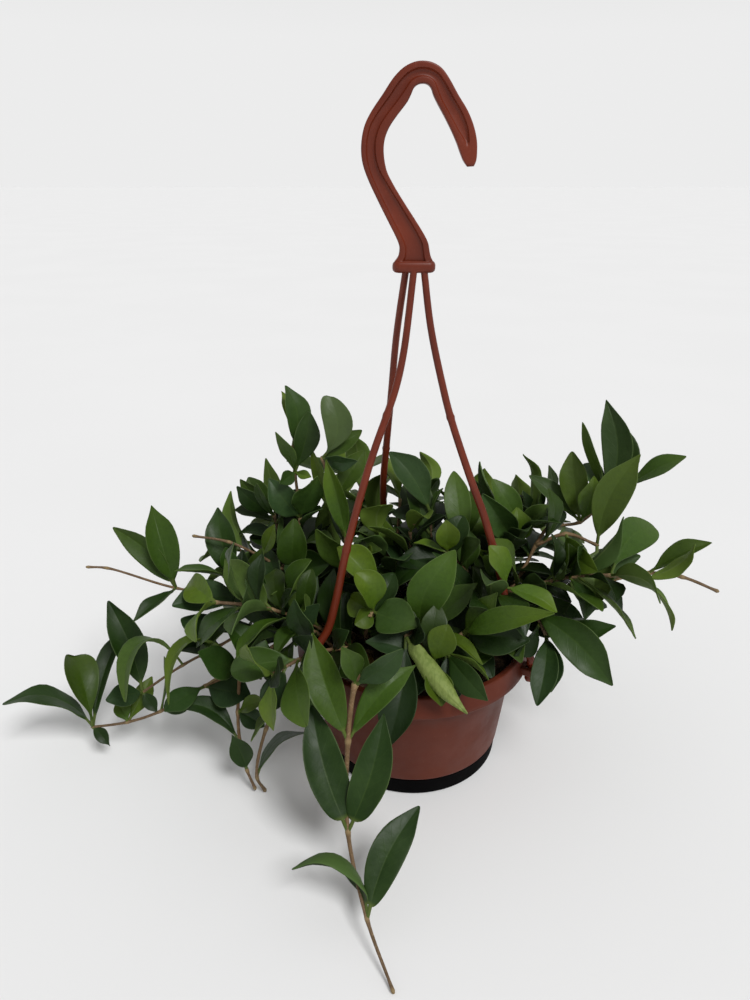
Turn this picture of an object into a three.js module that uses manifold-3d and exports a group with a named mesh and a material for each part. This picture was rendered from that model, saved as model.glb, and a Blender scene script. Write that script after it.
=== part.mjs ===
// A lipstick plant in a hanging pot that stands on its saucer.
// Millimetres, +Z up. The pot axis is the Z axis and the saucer stands on z = 0.
import * as THREE from 'three';
import { mergeVertices } from 'three/addons/utils/BufferGeometryUtils.js';
import Module from 'manifold-3d';

const wasm = await Module();
wasm.setup();

const { PI, cos, sin } = Math;
const TURN = 2 * PI;
const DEG = PI / 180;

// ---------------------------------------------------------------- dimensions
const GAP = 0.3; // between pieces that touch
const PAST = 1; // how far a cutter reaches past what it cuts, and a joined piece into its neighbour
const ROUND_SIDES = 32; // sides of the pot, saucer and soil
const WELD = 1e-4; // corners closer than this are one
const TOUCH_VOLUME = 1e-6; // a smaller overlap is none

// pot profile as [radius, height], outside from the floor up, then inside
const POT_OUTSIDE = [
  [0, 12.3], [57.6, 12.3], [59, 13.6], [66, 74.2], [75, 74.2], [75, 77], [72.6, 86.4], [71.8, 87],
];
const POT_INSIDE = [[69.4, 87], [68.6, 86.4], [66.2, 78], [64, 73], [57.4, 14.6], [0, 14.6]];
const WALL_KINK = 3; // point of POT_INSIDE where the wall thickens for the rim
const FLOOR = { low: POT_OUTSIDE[0][1], high: POT_INSIDE[POT_INSIDE.length - 1][1] };
const DRAIN = { count: 6, ring: 34, radius: 3.5, sides: 8 };

// rim lugs that take the hanger pins
const LUG = { radius: 78.5, inner: 71, outer: 83, width: 9, low: 76.6, high: 81.8, hole: 2.3 };
const LUG_TURNS = [-27, 97.5, 213]; // degrees around the pot axis

// saucer profile, a tray with an inner ring under the pot floor
const SAUCER = [
  [0, 0], [56.2, 0], [57.4, 1.2], [58.2, 12], [56.2, 12], [55.6, 2.4],
  [49, 2.4], [48.6, 12], [46.4, 12], [46, 2.4], [0, 2.4],
];

const SOIL = { top: 78, wallGap: 0.35, rings: [26, 50] }; // it fills the pot to just under the rim
const SOIL_WAVES = { height: 1.6, alongX: 0.11, alongY: 0.13, shift: 1, sunk: 0.6, edge: 4 };

// hanger: stations of the hook strip as outer and inner [x, z], and its thin web as shares of the width
const HOOK = [
  [[-14.3, 313.6], [5.9, 313.6], [.2, .8]], [[-12.4, 316.3], [4.5, 316.3], [.2, .8]],
  [[-11.8, 319.6], [3.7, 319.6], [.2, .8]], [[-12.1, 321.9], [3.1, 322.5], [.19, .8]],
  [[-13.9, 326], [1.4, 326], [.18, .8]], [[-17.5, 332.6], [-2.4, 331.8], [.18, .8]],
  [[-23.4, 343.6], [-9.8, 342.3], [.2, .8]], [[-28.1, 353], [-15.5, 350.9], [.21, .76]],
  [[-30.6, 359.7], [-18.8, 357.2], [.22, .68]], [[-31.4, 365.5], [-20.2, 365.5], [.22, .63]],
  [[-30.9, 372], [-19.6, 371.2], [.22, .62]], [[-29.3, 377.6], [-17.3, 376.4], [.22, .62]],
  [[-26.1, 383.2], [-13.4, 381.6], [.24, .64]], [[-20.8, 390.2], [-8.8, 387.1], [.26, .66]],
  [[-15.6, 397.2], [-7.1, 390.2], [.28, .7]], [[-10.8, 401.4], [-5.8, 392.9], [.3, .7]],
  [[-6, 403.5], [-3.9, 394.3], [.3, .7]], [[-1.9, 404], [-1.8, 394.7], [.3, .7]],
  [[2.7, 403.3], [.5, 394.3], [.3, .7]], [[7.1, 401], [2.3, 392.7], [.28, .7]],
  [[10.8, 396.8], [3.3, 390.2], [.26, .74]], [[15.5, 389.8], [5, 387.1], [.25, .78]],
  [[20.3, 383.2], [9.3, 380.4], [.25, .78]], [[23.5, 376.8], [13.1, 374], [.27, .74]],
  [[25.4, 370.4], [15.8, 368.8], [.38, .6]], [[25.8, 365.5], [17.2, 365.5]],
  [[25.6, 361.4], [19.2, 361.4]], [[24.6, 358.8], [21.4, 358.6]],
];
const HOOK_DEPTH = 4.6; // across the raised borders
const WEB_DEPTH = 1.8; // the thin web between them
const FOOT = { x: -4.1, width: 22.6, depth: 8, low: 308, high: 314, sides: 12 };
const ARM = { topRadius: 1.85, endRadius: 2.5, sides: 6, step: 30, nub: 1.25, nubHalf: 2.2 };
const PIN = { radius: 1.6, bead: 2.8, beadLow: 71, beadHigh: 75.6, seat: 84.6, neck: 2.5, sides: 6 };
// arms from the foot to above their lugs; nubs sit at the listed point numbers
const ARMS = [
  { lug: 0, nubs: [3, 6], path: [
    [1, -1, 311], [5.5, -4, 280], [13, -8, 248], [17.5, -11, 232], [30, -18, 197], [37.5, -22, 178],
    [44, -25, 158], [47.5, -26.5, 147], [56, -30, 114], [64, -33, 98]] },
  { lug: 1, nubs: [3, 5], path: [
    [-8, 1, 311], [-12.5, 10, 273], [-15, 20, 235.5], [-17.5, 30, 199], [-19, 42, 171], [-18, 55, 140],
    [-14, 67, 112], [-11, 74, 98]] },
  { lug: 2, nubs: [3, 6], path: [
    [-4, -2, 311], [-9, -6, 267], [-13, -9, 248.5], [-18, -12, 233.5], [-24, -15.5, 217],
    [-29.5, -19, 200], [-41, -26, 157], [-48, -31, 124], [-53, -35, 107], [-60, -39, 97]] },
];

// what lies on the soil
const LAID_FROM = 88; // height that they are lowered from
const LAID_CLOSE = 1.02; // times the gap, where the lowering ends
const FALLEN_LEAF = { base: [-42, -16], tip: [-24, -34], width: 15, bend: 14, youth: 1 };
const TWIG = { points: [[-42, 5], [-33, -2], [-28, -8], [-21, -13]], step: 12, radii: [1.1, 0.8] };

// colour and roughness of each material
const FINISH = {
  pot: [0x6a372d, 0.5],
  saucer: [0x120f10, 0.5],
  hanger: [0x7a3a2c, 0.45],
  soil: [0x1c1512, 0.95],
  fallenLeaf: [0x9a8a4a, 0.7],
  twig: [0x8a7458, 0.8],
  foliage: [0x3f5e2c, 0.45],
};

// Leafy stems are laid out as sight lines from an eye point in front of the plant. A sighted
// point is [across, down, y]: where the line crosses a picture of this size, and its y in mm.
const EYE = new THREE.Vector3(-24.5, -396, 354);
const PITCH = 24.1 * DEG;
const PICTURE = { x: 375, y: 500, focal: 722 };

const STEM = { radius: 1.45, tip: 1.15, sides: 4, step: 22, rootDepth: 14, collar: 4, pastEnd: 1.2 };
const HOLE = { radius: 2.2, deeper: 1, over: 6 }; // soil hole round each stem
const SIMPLER = 0.05; // slivers left by joining leaves and stems are cleaned up to this size
const PETIOLE = { share: 0.1, start: 0.6, halfWidth: 0.7, halfThick: 0.6 }; // it starts inside the stem
const LEAF_RISE = 0.24; // how far the edges stand above the midrib, per half width
const LEAF_THICK = 1.5; // at the midrib of an old leaf
const YOUNG_THINNER = 0.2; // for each step of youth
const BIG_LEAF = 56; // longer leaves get one more section
const SECTIONS = [[0.22, 0.64], [0.14, 0.42, 0.76]]; // places of the widest sections along a blade
const BLADE = { skew: 0.8, fullness: 0.85 }; // lower skew is widest nearer the base
const KEEP_CLEAR = 0.7; // kept between a leaf and what it doesn't grow from
const NEAR_SHARE = 0.6; // sighted leaves lean somewhat toward the eye
const LEAST_TURN = 0.02; // arc of a leaf that is all but flat
const LOWEST_TIP = { sighted: 1, grown: 3 }; // above the ground

// what a sighted leaf may change to stay clear: [nearer or farther, turn about its length]
const SIGHTED_MOVES = [
  [0, 0], [4, 0], [-4, 0], [8, 0], [-8, 0], [0, 14], [0, -14], [6, 14], [-6, -14], [-6, 14], [6, -14],
  [13, 0], [-13, 0], [0, 28], [0, -28], [12, 22], [-12, -22], [-12, 22], [12, -22], [20, 0], [-20, 0],
  [20, 30], [-20, -30], [-20, 30], [20, -30], [28, 0], [-28, 0], [0, 50], [0, -50], [30, 40], [-30, -40],
];

// Each stem: name, soil place, points on its way over the rim, then its shoots. A shoot is a
// row of leaf nodes: sighted point, then up to four leaves as
// [tip across, tip down, length, width, roll, bend, youth].
const STEMS = [
  ['stem_front_trail', [-24, -40], [[-30, -60, 98]], [[
    [[355, 685, -79], [345, 648, 36, 14, 30, 20, 1], [403, 651, 48, 20, 15, 25, 0]],
    [[348, 741, -91], [312, 632, 58, 25, 0, 25, 1], [415, 660, 56, 20, -20, 25, 1]],
    [[348, 832, -118], [312, 704, 66, 24, 10, 15, 0], [384, 713, 64, 23, -10, 15, 0]],
    [[367, 919, -152], [420, 805, 58, 22, 0, 15, 0], [289, 860, 55, 20, 50, 95, 0]],
    [[393, 991, -178.6]],
  ]]],
  ['stem_left_low', [-50, -18], [[-64, -20, 97]], [[
    [[283, 640, -22]],
    [[240, 670, -26], [161, 704, 66, 18, 70, 110, 2], [197, 652, 40, 22, 20, 20, 0]],
    [[205, 686, -28], [250, 693, 42, 26, -15, 20, 0], [164, 712, 38, 16, 20, 10, 0]],
    [[161, 711, -26], [196, 690, 32, 16, 0, 20, 0], [165, 656, 38, 16, 60, 20, 1]],
    [[128, 722, -24], [152, 676, 32, 14, -20, 5, 2], [116, 700, 17, 12, 0, 5, 2]],
    [[93, 727, -22], [1, 698, 60, 22, 55, 60, 0], [74, 656, 52, 26, 0, 75, 1],
      [126, 623, 62, 24, -40, 20, 0], [110, 746, 20, 10, 0, 30, 0]],
  ], [
    [[240, 670, -26]],
    [[238, 712, -40], [264, 726, 30, 14, 0, 20, 0], [266, 700, 30, 14, -30, 10, 2]],
    [[240, 742, -48], [170, 702, 50, 20, 35, 25, 0]],
    [[247, 770, -54], [232, 735, 28, 19, 0, 15, 0]],
    [[255, 788, -56]],
  ]]],
  ['stem_left_mid', [-50, 4], [[-66, 2, 98]], [[
    [[262, 622, -4]],
    [[219, 646, -8], [178, 650, 38, 18, 30, 20, 0], [183, 618, 46, 22, 20, 20, 0]],
    [[183, 665, -12], [120, 703, 66, 18, 65, 120, 1]],
    [[143, 692, -17], [108, 600, 62, 24, 0, 20, 0], [106, 700, 34, 18, 20, 30, 0],
      [157, 712, 18, 10, 0, 5, 0]],
  ]]],
  ['stem_left_out', [-42, 12], [[-58, 8, 100]], [[
    [[245, 597, 0], [172, 607, 50, 26, 45, 30, 0], [262, 571, 40, 24, 0, 50, 0]],
    [[176, 588, -4], [151, 504, 52, 25, 0, 45, 1], [113, 527, 52, 20, -25, 15, 1],
      [130, 618, 46, 20, 60, 25, 0]],
    [[107, 568, -6]],
    [[88, 567, -8]],
  ]]],
  ['stem_left_upper', [-34, 22], [[-52, 20, 108]], [[
    [[262, 600, 14]],
    [[230, 577, 10], [216, 506, 48, 24, -10, 15, 0], [174, 572, 42, 18, 75, 15, 1],
      [226, 548, 22, 14, 0, 10, 0], [275, 523, 50, 26, -40, 60, 1]],
  ]]],
  ['stem_left_bare', [-30, 32], [[-42, 30, 108]], [[
    [[293, 573, 18], [330, 562, 42, 24, -30, 20, 0], [294, 518, 42, 24, 0, 60, 1]],
    [[262, 557, 16], [275, 524, 34, 12, -40, 10, 2]],
    [[229, 542, 12]],
    [[194, 536, 10]],
  ]]],
  ['stem_left_near', [-40, -8], [[-62, -14, 99]], [[
    [[276, 637, -21], [237, 577, 46, 22, -30, 15, 0], [319, 576, 50, 24, 15, 20, 0],
      [320, 608, 38, 18, 40, 20, 0]],
  ]]],
  ['stem_hanging_pair', [-46, -34], [[-52, -50, 98]], [[
    [[284, 692, -48], [226, 620, 54, 24, 20, 20, 0], [307, 656, 30, 12, 60, 15, 1],
      [250, 741, 36, 16, 60, 10, 1], [325, 706, 38, 22, 0, 20, 1]],
    [[266, 729, -52]],
    [[257, 777, -56.5], [305, 726, 40, 18, -65, 45, 0]],
    [[265, 790, -56]],
  ]]],
  ['stem_top_left', [-32, 24], [], [[
    [[300, 555, 26]],
    [[300, 518, 30], [268, 479, 42, 22, -10, 40, 0], [318, 478, 42, 22, 20, 10, 1]],
    [[295, 472, 34], [311, 413, 44, 20, 20, 10, 0], [275, 432, 36, 14, -50, 25, 1],
      [279, 484, 20, 12, 0, 20, 0], [311, 477, 15, 8, 0, 20, 2]],
    [[293, 446, 36], [286, 385, 40, 20, 10, 20, 0], [280, 389, 38, 14, -30, 20, 2]],
  ]]],
  ['stem_top_mid', [-18, 14], [], [[
    [[346, 572, 8], [316, 529, 48, 20, -20, 10, 1]],
    [[346, 540, 12], [326, 459, 56, 18, -10, 10, 2], [308, 445, 64, 12, -50, 10, 2]],
    [[336, 500, 18], [365, 449, 44, 18, 20, 30, 1]],
    [[322, 458, 24], [330, 396, 42, 22, -10, 60, 1], [360, 429, 32, 16, -20, 5, 1],
      [355, 464, 28, 14, 40, 5, 0]],
  ]]],
  ['stem_left_high', [-38, 38], [], [[
    [[290, 560, 40]],
    [[274, 515, 40], [236, 488, 38, 16, -35, 20, 0], [240, 479, 40, 14, -10, 10, 1],
      [248, 477, 42, 20, -10, 20, 1], [256, 484, 32, 10, -40, 20, 1]],
  ]]],
  ['stem_rosette', [-20, -2], [], [[
    [[366, 636, -24], [338, 588, 34, 16, 20, 10, 2]],
    [[373, 612, -34], [357, 571, 32, 24, 40, 60, 2], [350, 598, 24, 18, -20, 60, 2],
      [417, 627, 34, 26, -10, 20, 1], [355, 624, 24, 16, 0, 30, 2]],
  ]]],
  ['stem_centre_back', [-2, 22], [], [[
    [[405, 585, 20], [382, 517, 48, 18, -20, 15, 2], [372, 550, 30, 14, 0, 5, 1]],
    [[430, 555, 26], [408, 468, 56, 22, 20, 15, 0]],
    [[430, 512, 34], [390, 451, 50, 24, 20, 20, 0], [443, 488, 16, 7, -60, 5, 0]],
  ], [
    [[405, 585, 20]],
    [[398, 540, 36], [368, 508, 34, 16, 20, 10, 0]],
    [[400, 500, 42], [384, 453, 34, 14, 20, 10, 2]],
  ]]],
  ['stem_centre_round', [14, 14], [], [[
    [[466, 572, 4], [468, 528, 30, 20, 0, 60, 0]],
    [[462, 548, 14], [454, 472, 48, 20, 0, 70, 1], [462, 487, 46, 26, 0, 60, 1]],
  ], [
    [[466, 572, 4]],
    [[447, 552, -2], [446, 520, 26, 18, 0, 40, 2], [414, 541, 24, 12, 60, 10, 2]],
  ]]],
  ['stem_centre_right', [26, 12], [], [[
    [[503, 580, 4], [484, 557, 26, 14, 20, 20, 1]],
    [[515, 545, 12], [484, 496, 56, 24, 0, 20, 0], [517, 507, 30, 20, 0, 30, 2]],
    [[520, 525, 20], [480, 461, 48, 14, -60, 40, 0], [492, 479, 40, 20, 10, 60, 1],
      [548, 506, 32, 20, 10, 20, 1]],
  ]]],
  ['stem_right_out', [40, -8], [[50, -8, 100]], [[
    [[508, 592, -8]],
    [[523, 570, -2]],
    [[536, 545, 4]],
    [[548, 528, 10]],
    [[580, 522, 16], [572, 451, 46, 22, 0, 15, 1], [567, 470, 34, 12, -40, 10, 2],
      [594, 476, 34, 20, 20, 30, 2], [529, 475, 44, 14, 60, 15, 0]],
    [[606, 500, 22], [606, 399, 62, 24, 0, 15, 0], [579, 423, 52, 18, -60, 20, 1],
      [615, 417, 52, 24, 10, 20, 0], [584, 463, 30, 16, 0, 40, 0]],
    [[628, 486, 26], [686, 455, 42, 20, -40, 25, 1]],
  ], [
    [[536, 545, 4]],
    [[566, 534, 0], [597, 572, 42, 20, 40, 60, 2], [578, 574, 34, 18, 0, 10, 0]],
    [[597, 545, -2], [641, 454, 62, 25, 10, 15, 1], [587, 613, 44, 26, 0, 30, 1]],
  ], [
    [[508, 592, -8]],
    [[562, 589, -12], [640, 556, 50, 20, 20, 20, 0]],
    [[607, 581, -12], [597, 548, 26, 18, 0, 50, 2], [627, 552, 28, 16, 0, 30, 2],
      [648, 511, 46, 26, 0, 30, 1]],
    [[648, 573, -9], [710, 540, 42, 20, -30, 10, 1], [617, 572, 22, 8, 70, 10, 0]],
    [[682, 577, -8]],
    [[717, 591, -8]],
  ]]],
  ['stem_right_low', [42, -20], [[62, -26, 99]], [[
    [[532, 612, -31], [614, 687, 62, 26, 0, 25, 0], [554, 613, 24, 14, -40, 20, 1]],
    [[546, 635, -39], [550, 692, 44, 22, 10, 20, 0], [537, 706, 48, 18, -50, 50, 0],
      [616, 626, 50, 16, 0, 20, 0]],
  ]]],
  ['stem_centre_front', [4, -28], [], [[
    [[420, 628, -36], [478, 583, 46, 20, -20, 20, 1], [486, 659, 46, 14, -70, 20, 2],
      [456, 553, 60, 26, 10, 30, 1]],
    [[406, 636, -48], [468, 714, 62, 22, 15, 40, 2], [388, 748, 62, 25, 0, 25, 0]],
  ]]],
  ['stem_right_front', [26, -34], [], [[
    [[462, 634, -42], [529, 640, 44, 25, 0, 15, 0], [496, 592, 44, 18, -20, 10, 1],
      [554, 612, 62, 18, -50, 40, 2]],
    [[446, 652, -54], [488, 701, 46, 18, 20, 20, 0], [489, 680, 44, 12, -70, 30, 2],
      [455, 702, 44, 18, 0, 20, 0], [440, 714, 56, 18, 0, 30, 0]],
  ]]],
];

// Stems on the far side and in the heart of the plant grow by rule. Ranges are [least, most],
// and `sector` is the part of the turn around the pot axis that a set of stems shares.
const SEED = 20260;
const GROWN = [
  {
    name: 'stem_side', count: 5, sector: [146, 222], soilRing: [34, 46],
    first: 24, spacing: 17, nodes: [4, 5], lean: [38, 66], droop: [6, 14], spread: [50, 70],
    leafLength: [40, 52], leafWidth: [20, 25],
  },
  {
    name: 'stem_front', count: 1, sector: [266, 290], soilRing: [36, 42],
    first: 16, spacing: 13, nodes: [2, 3], lean: [34, 46], droop: [10, 16], spread: [50, 70],
    leafLength: [34, 44], leafWidth: [18, 22],
  },
  {
    name: 'stem_inner', count: 8, sector: [20, 380], soilRing: [6, 40],
    first: 16, spacing: 16, nodes: [3, 4], lean: [4, 26], droop: [3, 10], spread: [52, 74],
    leafLength: [38, 52], leafWidth: [19, 25],
  },
  {
    name: 'stem_far', count: 9, sector: [-14, 186], soilRing: [26, 46],
    first: 30, spacing: 19, nodes: [4, 6], lean: [34, 66], droop: [6, 13], spread: [48, 68],
    leafLength: [44, 58], leafWidth: [19, 25],
  },
];
const GROWN_MOVES = [
  [0, 0], [18, 0], [-18, 0], [0, 14], [0, -14], [32, 0], [-32, 0], [20, 16], [-20, 16], [20, -16], [-20, -16],
  [48, 0], [-48, 0], [0, 28], [0, -28], [40, 24], [-40, 24], [40, -24], [-40, -24],
];
const STEM_TURNS = [0, 6, -6, 12, -12, 18, -18];
const TOP_SHORTER = 0.7; // leaves at a stem's tip
const GROWN_BEND = [20, 60]; // arc of a grown leaf, in degrees
const FACE_UP = 0.5; // how far a grown leaf's face turns from the stem's tip toward the sky
const UNEVEN = 16; // degrees by which a leaf pair misses its right angle to the next
const IN_SHARE = [0.2, 0.8]; // a stem's place within its share of the sector
const MOST_TILT = 105; // degrees from upright

// ------------------------------------------------------------------- helpers
const vec = (p) => new THREE.Vector3(...p);
const around = (radius, angle) => [radius * cos(angle), radius * sin(angle)];

function makeRandom(seed) {
  let state = seed;
  return (low = 0, high = 1) => {
    state = (state * 16807) % 2147483647;
    return low + (high - low) * (state / 2147483647);
  };
}

// A closed solid from a flat list of vertices and triangles, turned right side out.
function solidOf(vertices, triangles) {
  const build = (list) => new wasm.Manifold(new wasm.Mesh({
    numProp: 3,
    vertProperties: new Float32Array(vertices),
    triVerts: new Uint32Array(list),
  }));
  const solid = build(triangles);
  if (solid.volume() > 0) return solid;
  const turned = [];
  for (let i = 0; i < triangles.length; i += 3) turned.push(triangles[i], triangles[i + 2], triangles[i + 1]);
  return build(turned);
}

function solidOfGeometry(geometry) {
  const bare = geometry.clone();
  bare.deleteAttribute('normal');
  bare.deleteAttribute('uv');
  const merged = mergeVertices(bare, WELD);
  const index = Array.from(merged.index.array);
  const kept = [];
  for (let i = 0; i < index.length; i += 3) {
    const [a, b, c] = index.slice(i, i + 3);
    if (a !== b && b !== c && c !== a) kept.push(a, b, c);
  }
  return solidOf(Array.from(merged.attributes.position.array), kept);
}

function union(solids) {
  return solids.reduce((whole, next) => whole.add(next));
}

function meshOf(name, solid, [color, roughness]) {
  const raw = solid.getMesh();
  const geometry = new THREE.BufferGeometry();
  geometry.setAttribute('position', new THREE.BufferAttribute(new Float32Array(raw.vertProperties), 3));
  geometry.setIndex(new THREE.BufferAttribute(new Uint32Array(raw.triVerts), 1));
  geometry.computeVertexNormals();
  const mesh = new THREE.Mesh(geometry, new THREE.MeshStandardMaterial({ color, roughness }));
  mesh.name = name;
  return mesh;
}

// Turned solid from a closed [radius, height] profile.
function turned(profile, sides = ROUND_SIDES) {
  const geometry = new THREE.LatheGeometry(profile.map(([r, z]) => new THREE.Vector2(r, z)), sides);
  return solidOfGeometry(geometry.rotateX(PI / 2));
}

function upright(radius, low, high, sides, x, y) {
  const geometry = new THREE.CylinderGeometry(radius, radius, high - low, sides);
  return solidOfGeometry(geometry.rotateX(PI / 2).translate(x, y, (low + high) / 2));
}

function block(width, depth, height, x, y, z, turn = 0) {
  const geometry = new THREE.BoxGeometry(width, depth, height);
  return solidOfGeometry(geometry.translate(x, y, z).rotateZ(turn * DEG));
}

// Point seen at a place in the picture, at a given y.
function sightRay(across, down) {
  const right = (across - PICTURE.x) / PICTURE.focal;
  const up = (PICTURE.y - down) / PICTURE.focal;
  return new THREE.Vector3(right, cos(PITCH) + up * sin(PITCH), up * cos(PITCH) - sin(PITCH));
}

function sighted([across, down, y]) {
  const ray = sightRay(across, down);
  return EYE.clone().addScaledVector(ray, (y - EYE.y) / ray.y);
}

// Tapered rod through points; radii follow the points.
function rod(points, radii, sides) {
  const vertices = [];
  const triangles = [];
  const across = new THREE.Vector3(1, 0.2, 0.1); // no rod starts along this
  points.forEach((point, i) => {
    const ahead = points[Math.min(i + 1, points.length - 1)];
    const behind = points[Math.max(i - 1, 0)];
    const along = ahead.clone().sub(behind).normalize();
    across.addScaledVector(along, -across.dot(along)).normalize();
    const other = along.clone().cross(across);
    for (let k = 0; k < sides; k += 1) {
      const angle = (TURN * k) / sides;
      const ring = point.clone().addScaledVector(across, radii[i] * cos(angle));
      ring.addScaledVector(other, radii[i] * sin(angle));
      vertices.push(ring.x, ring.y, ring.z);
    }
  });
  for (let i = 0; i + 1 < points.length; i += 1) {
    for (let k = 0; k < sides; k += 1) {
      const a = i * sides + k;
      const b = i * sides + ((k + 1) % sides);
      triangles.push(a, b, b + sides, a, b + sides, a + sides);
    }
  }
  const end = (points.length - 1) * sides;
  for (let k = 1; k + 1 < sides; k += 1) {
    triangles.push(0, k + 1, k, end, end + k, end + k + 1);
  }
  return solidOf(vertices, triangles);
}

// Even points on a smooth curve through the given ones, which all stay on it.
function smoothed(points, step) {
  const curve = new THREE.CatmullRomCurve3(points, false, 'centripetal');
  const last = points.length - 1;
  const out = [];
  for (let i = 0; i < last; i += 1) {
    const pieces = Math.max(1, Math.round(points[i].distanceTo(points[i + 1]) / step));
    for (let k = 0; k < pieces; k += 1) out.push(curve.getPoint((i + k / pieces) / last));
  }
  out.push(points[last].clone());
  return out;
}

function tapered(points, from, to) {
  return points.map((_, i) => from + ((to - from) * i) / (points.length - 1));
}

// --------------------------------------------------------------- made pieces
function makePot() {
  const turnedPot = turned([...POT_OUTSIDE, ...POT_INSIDE]);
  const lugs = LUG_TURNS.map((turn) => {
    const middle = (LUG.inner + LUG.outer) / 2;
    const height = LUG.high - LUG.low;
    return block(LUG.outer - LUG.inner, LUG.width, height, middle, 0, LUG.low + height / 2, turn);
  });
  const holes = LUG_TURNS.map((turn) => {
    const [x, y] = around(LUG.radius, turn * DEG);
    return upright(LUG.hole, LUG.low - PAST, LUG.high + PAST, PIN.sides, x, y);
  });
  const drains = Array.from({ length: DRAIN.count }, (_, i) => {
    const [x, y] = around(DRAIN.ring, (TURN * i) / DRAIN.count);
    return upright(DRAIN.radius, FLOOR.low - PAST, FLOOR.high + PAST, DRAIN.sides, x, y);
  });
  return union([turnedPot, ...lugs]).subtract(union([...holes, ...drains]));
}

// Outline that runs along the strip between two shares of its width, which each station gives.
function hookShape(stations, sharesOf) {
  const at = (point) => new THREE.Vector2(...point);
  const side = (which) => stations.map((row) => at(row[0]).lerp(at(row[1]), sharesOf(row)[which]));
  return new THREE.Shape([...side(0), ...side(1).reverse()]);
}

function flatPiece(shape, depth) {
  const geometry = new THREE.ExtrudeGeometry(shape, { depth, bevelEnabled: false });
  return solidOfGeometry(geometry.translate(0, 0, -depth / 2).rotateX(PI / 2));
}

// Arm points and radii, with a short swelling at each nub.
function withNubs(points, nubs) {
  const radii = tapered(points, ARM.topRadius, ARM.endRadius);
  const out = { points: [], radii: [] };
  points.forEach((point, i) => {
    const isNub = nubs.some((nub) => nub.distanceTo(point) < ARM.nubHalf);
    const ahead = points[Math.min(i + 1, points.length - 1)];
    const along = ahead.clone().sub(points[Math.max(i - 1, 0)]).normalize();
    (isNub ? [-ARM.nubHalf, 0, ARM.nubHalf] : [0]).forEach((shift) => {
      out.points.push(point.clone().addScaledVector(along, shift));
      out.radii.push(radii[i] * (isNub && shift === 0 ? ARM.nub : 1));
    });
  });
  return out;
}

// Flat foot with round ends, where the hook and the three arms meet.
function makeFoot() {
  const { x, width, depth, low, high, sides } = FOOT;
  const endRadius = depth / 2;
  return union([
    block(width - depth, depth, high - low, x, 0, (low + high) / 2),
    upright(endRadius, low, high, sides, x - width / 2 + endRadius, 0),
    upright(endRadius, low, high, sides, x + width / 2 - endRadius, 0),
  ]);
}

function makeHanger() {
  const outline = flatPiece(hookShape(HOOK, () => [0, 1]), HOOK_DEPTH);
  const channelShape = hookShape(HOOK.filter((row) => row.length > 2), (row) => row[2]);
  const channel = flatPiece(channelShape, HOOK_DEPTH + PAST);
  const web = flatPiece(channelShape, WEB_DEPTH);
  const arms = ARMS.map(({ lug, nubs, path }) => {
    const [x, y] = around(LUG.radius, LUG_TURNS[lug] * DEG);
    const ending = [vec([x, y, PIN.seat + PIN.neck]), vec([x, y, PIN.seat])];
    const points = smoothed([...path.map(vec), ...ending], ARM.step);
    const knobbed = withNubs(points, nubs.map((n) => vec(path[n])));
    return union([
      rod(knobbed.points, knobbed.radii, ARM.sides),
      upright(PIN.radius, PIN.beadLow + PAST, PIN.seat + PAST, PIN.sides, x, y),
      upright(PIN.bead, PIN.beadLow, PIN.beadHigh, PIN.sides, x, y),
    ]);
  });
  return union([outline.subtract(channel), web, makeFoot(), ...arms]);
}

function innerPotRadius(z) {
  for (let i = 0; i + 1 < POT_INSIDE.length; i += 1) {
    const [r1, z1] = POT_INSIDE[i];
    const [r0, z0] = POT_INSIDE[i + 1];
    if (z <= z1 && z >= z0 && z1 > z0) return r0 + ((r1 - r0) * (z - z0)) / (z1 - z0);
  }
  return POT_INSIDE[0][0];
}

// Gentle unevenness of the soil top, which fades out at the pot wall.
function soilRise(x, y, wallRadius) {
  const { height, alongX, alongY, shift, sunk, edge } = SOIL_WAVES;
  const wave = sin(x * alongX + shift) * cos(y * alongY) - sunk;
  return height * wave * Math.min(1, edge * (1 - Math.hypot(x, y) / wallRadius));
}

function makeSoil() {
  const wall = (z) => [innerPotRadius(z) - SOIL.wallGap, z];
  const low = FLOOR.high + GAP;
  const kink = POT_INSIDE[WALL_KINK][1];
  const rings = SOIL.rings.map((radius) => [radius, SOIL.top]).reverse();
  const profile = [[0, low], wall(low), wall(kink), wall(SOIL.top), ...rings, [0, SOIL.top]];
  const geometry = new THREE.LatheGeometry(profile.map(([r, z]) => new THREE.Vector2(r, z)), ROUND_SIDES);
  geometry.rotateX(PI / 2);
  const place = geometry.attributes.position;
  for (let i = 0; i < place.count; i += 1) {
    const isTop = place.getZ(i) > (kink + SOIL.top) / 2;
    if (isTop) place.setZ(i, SOIL.top + soilRise(place.getX(i), place.getY(i), wall(SOIL.top)[0]));
  }
  return solidOfGeometry(geometry);
}

// -------------------------------------------------------------------- leaves
// Half width along a blade, 0 at its start and 1 at its tip.
function bladeShape(q) {
  return sin(PI * q ** BLADE.skew) ** BLADE.fullness;
}

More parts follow.
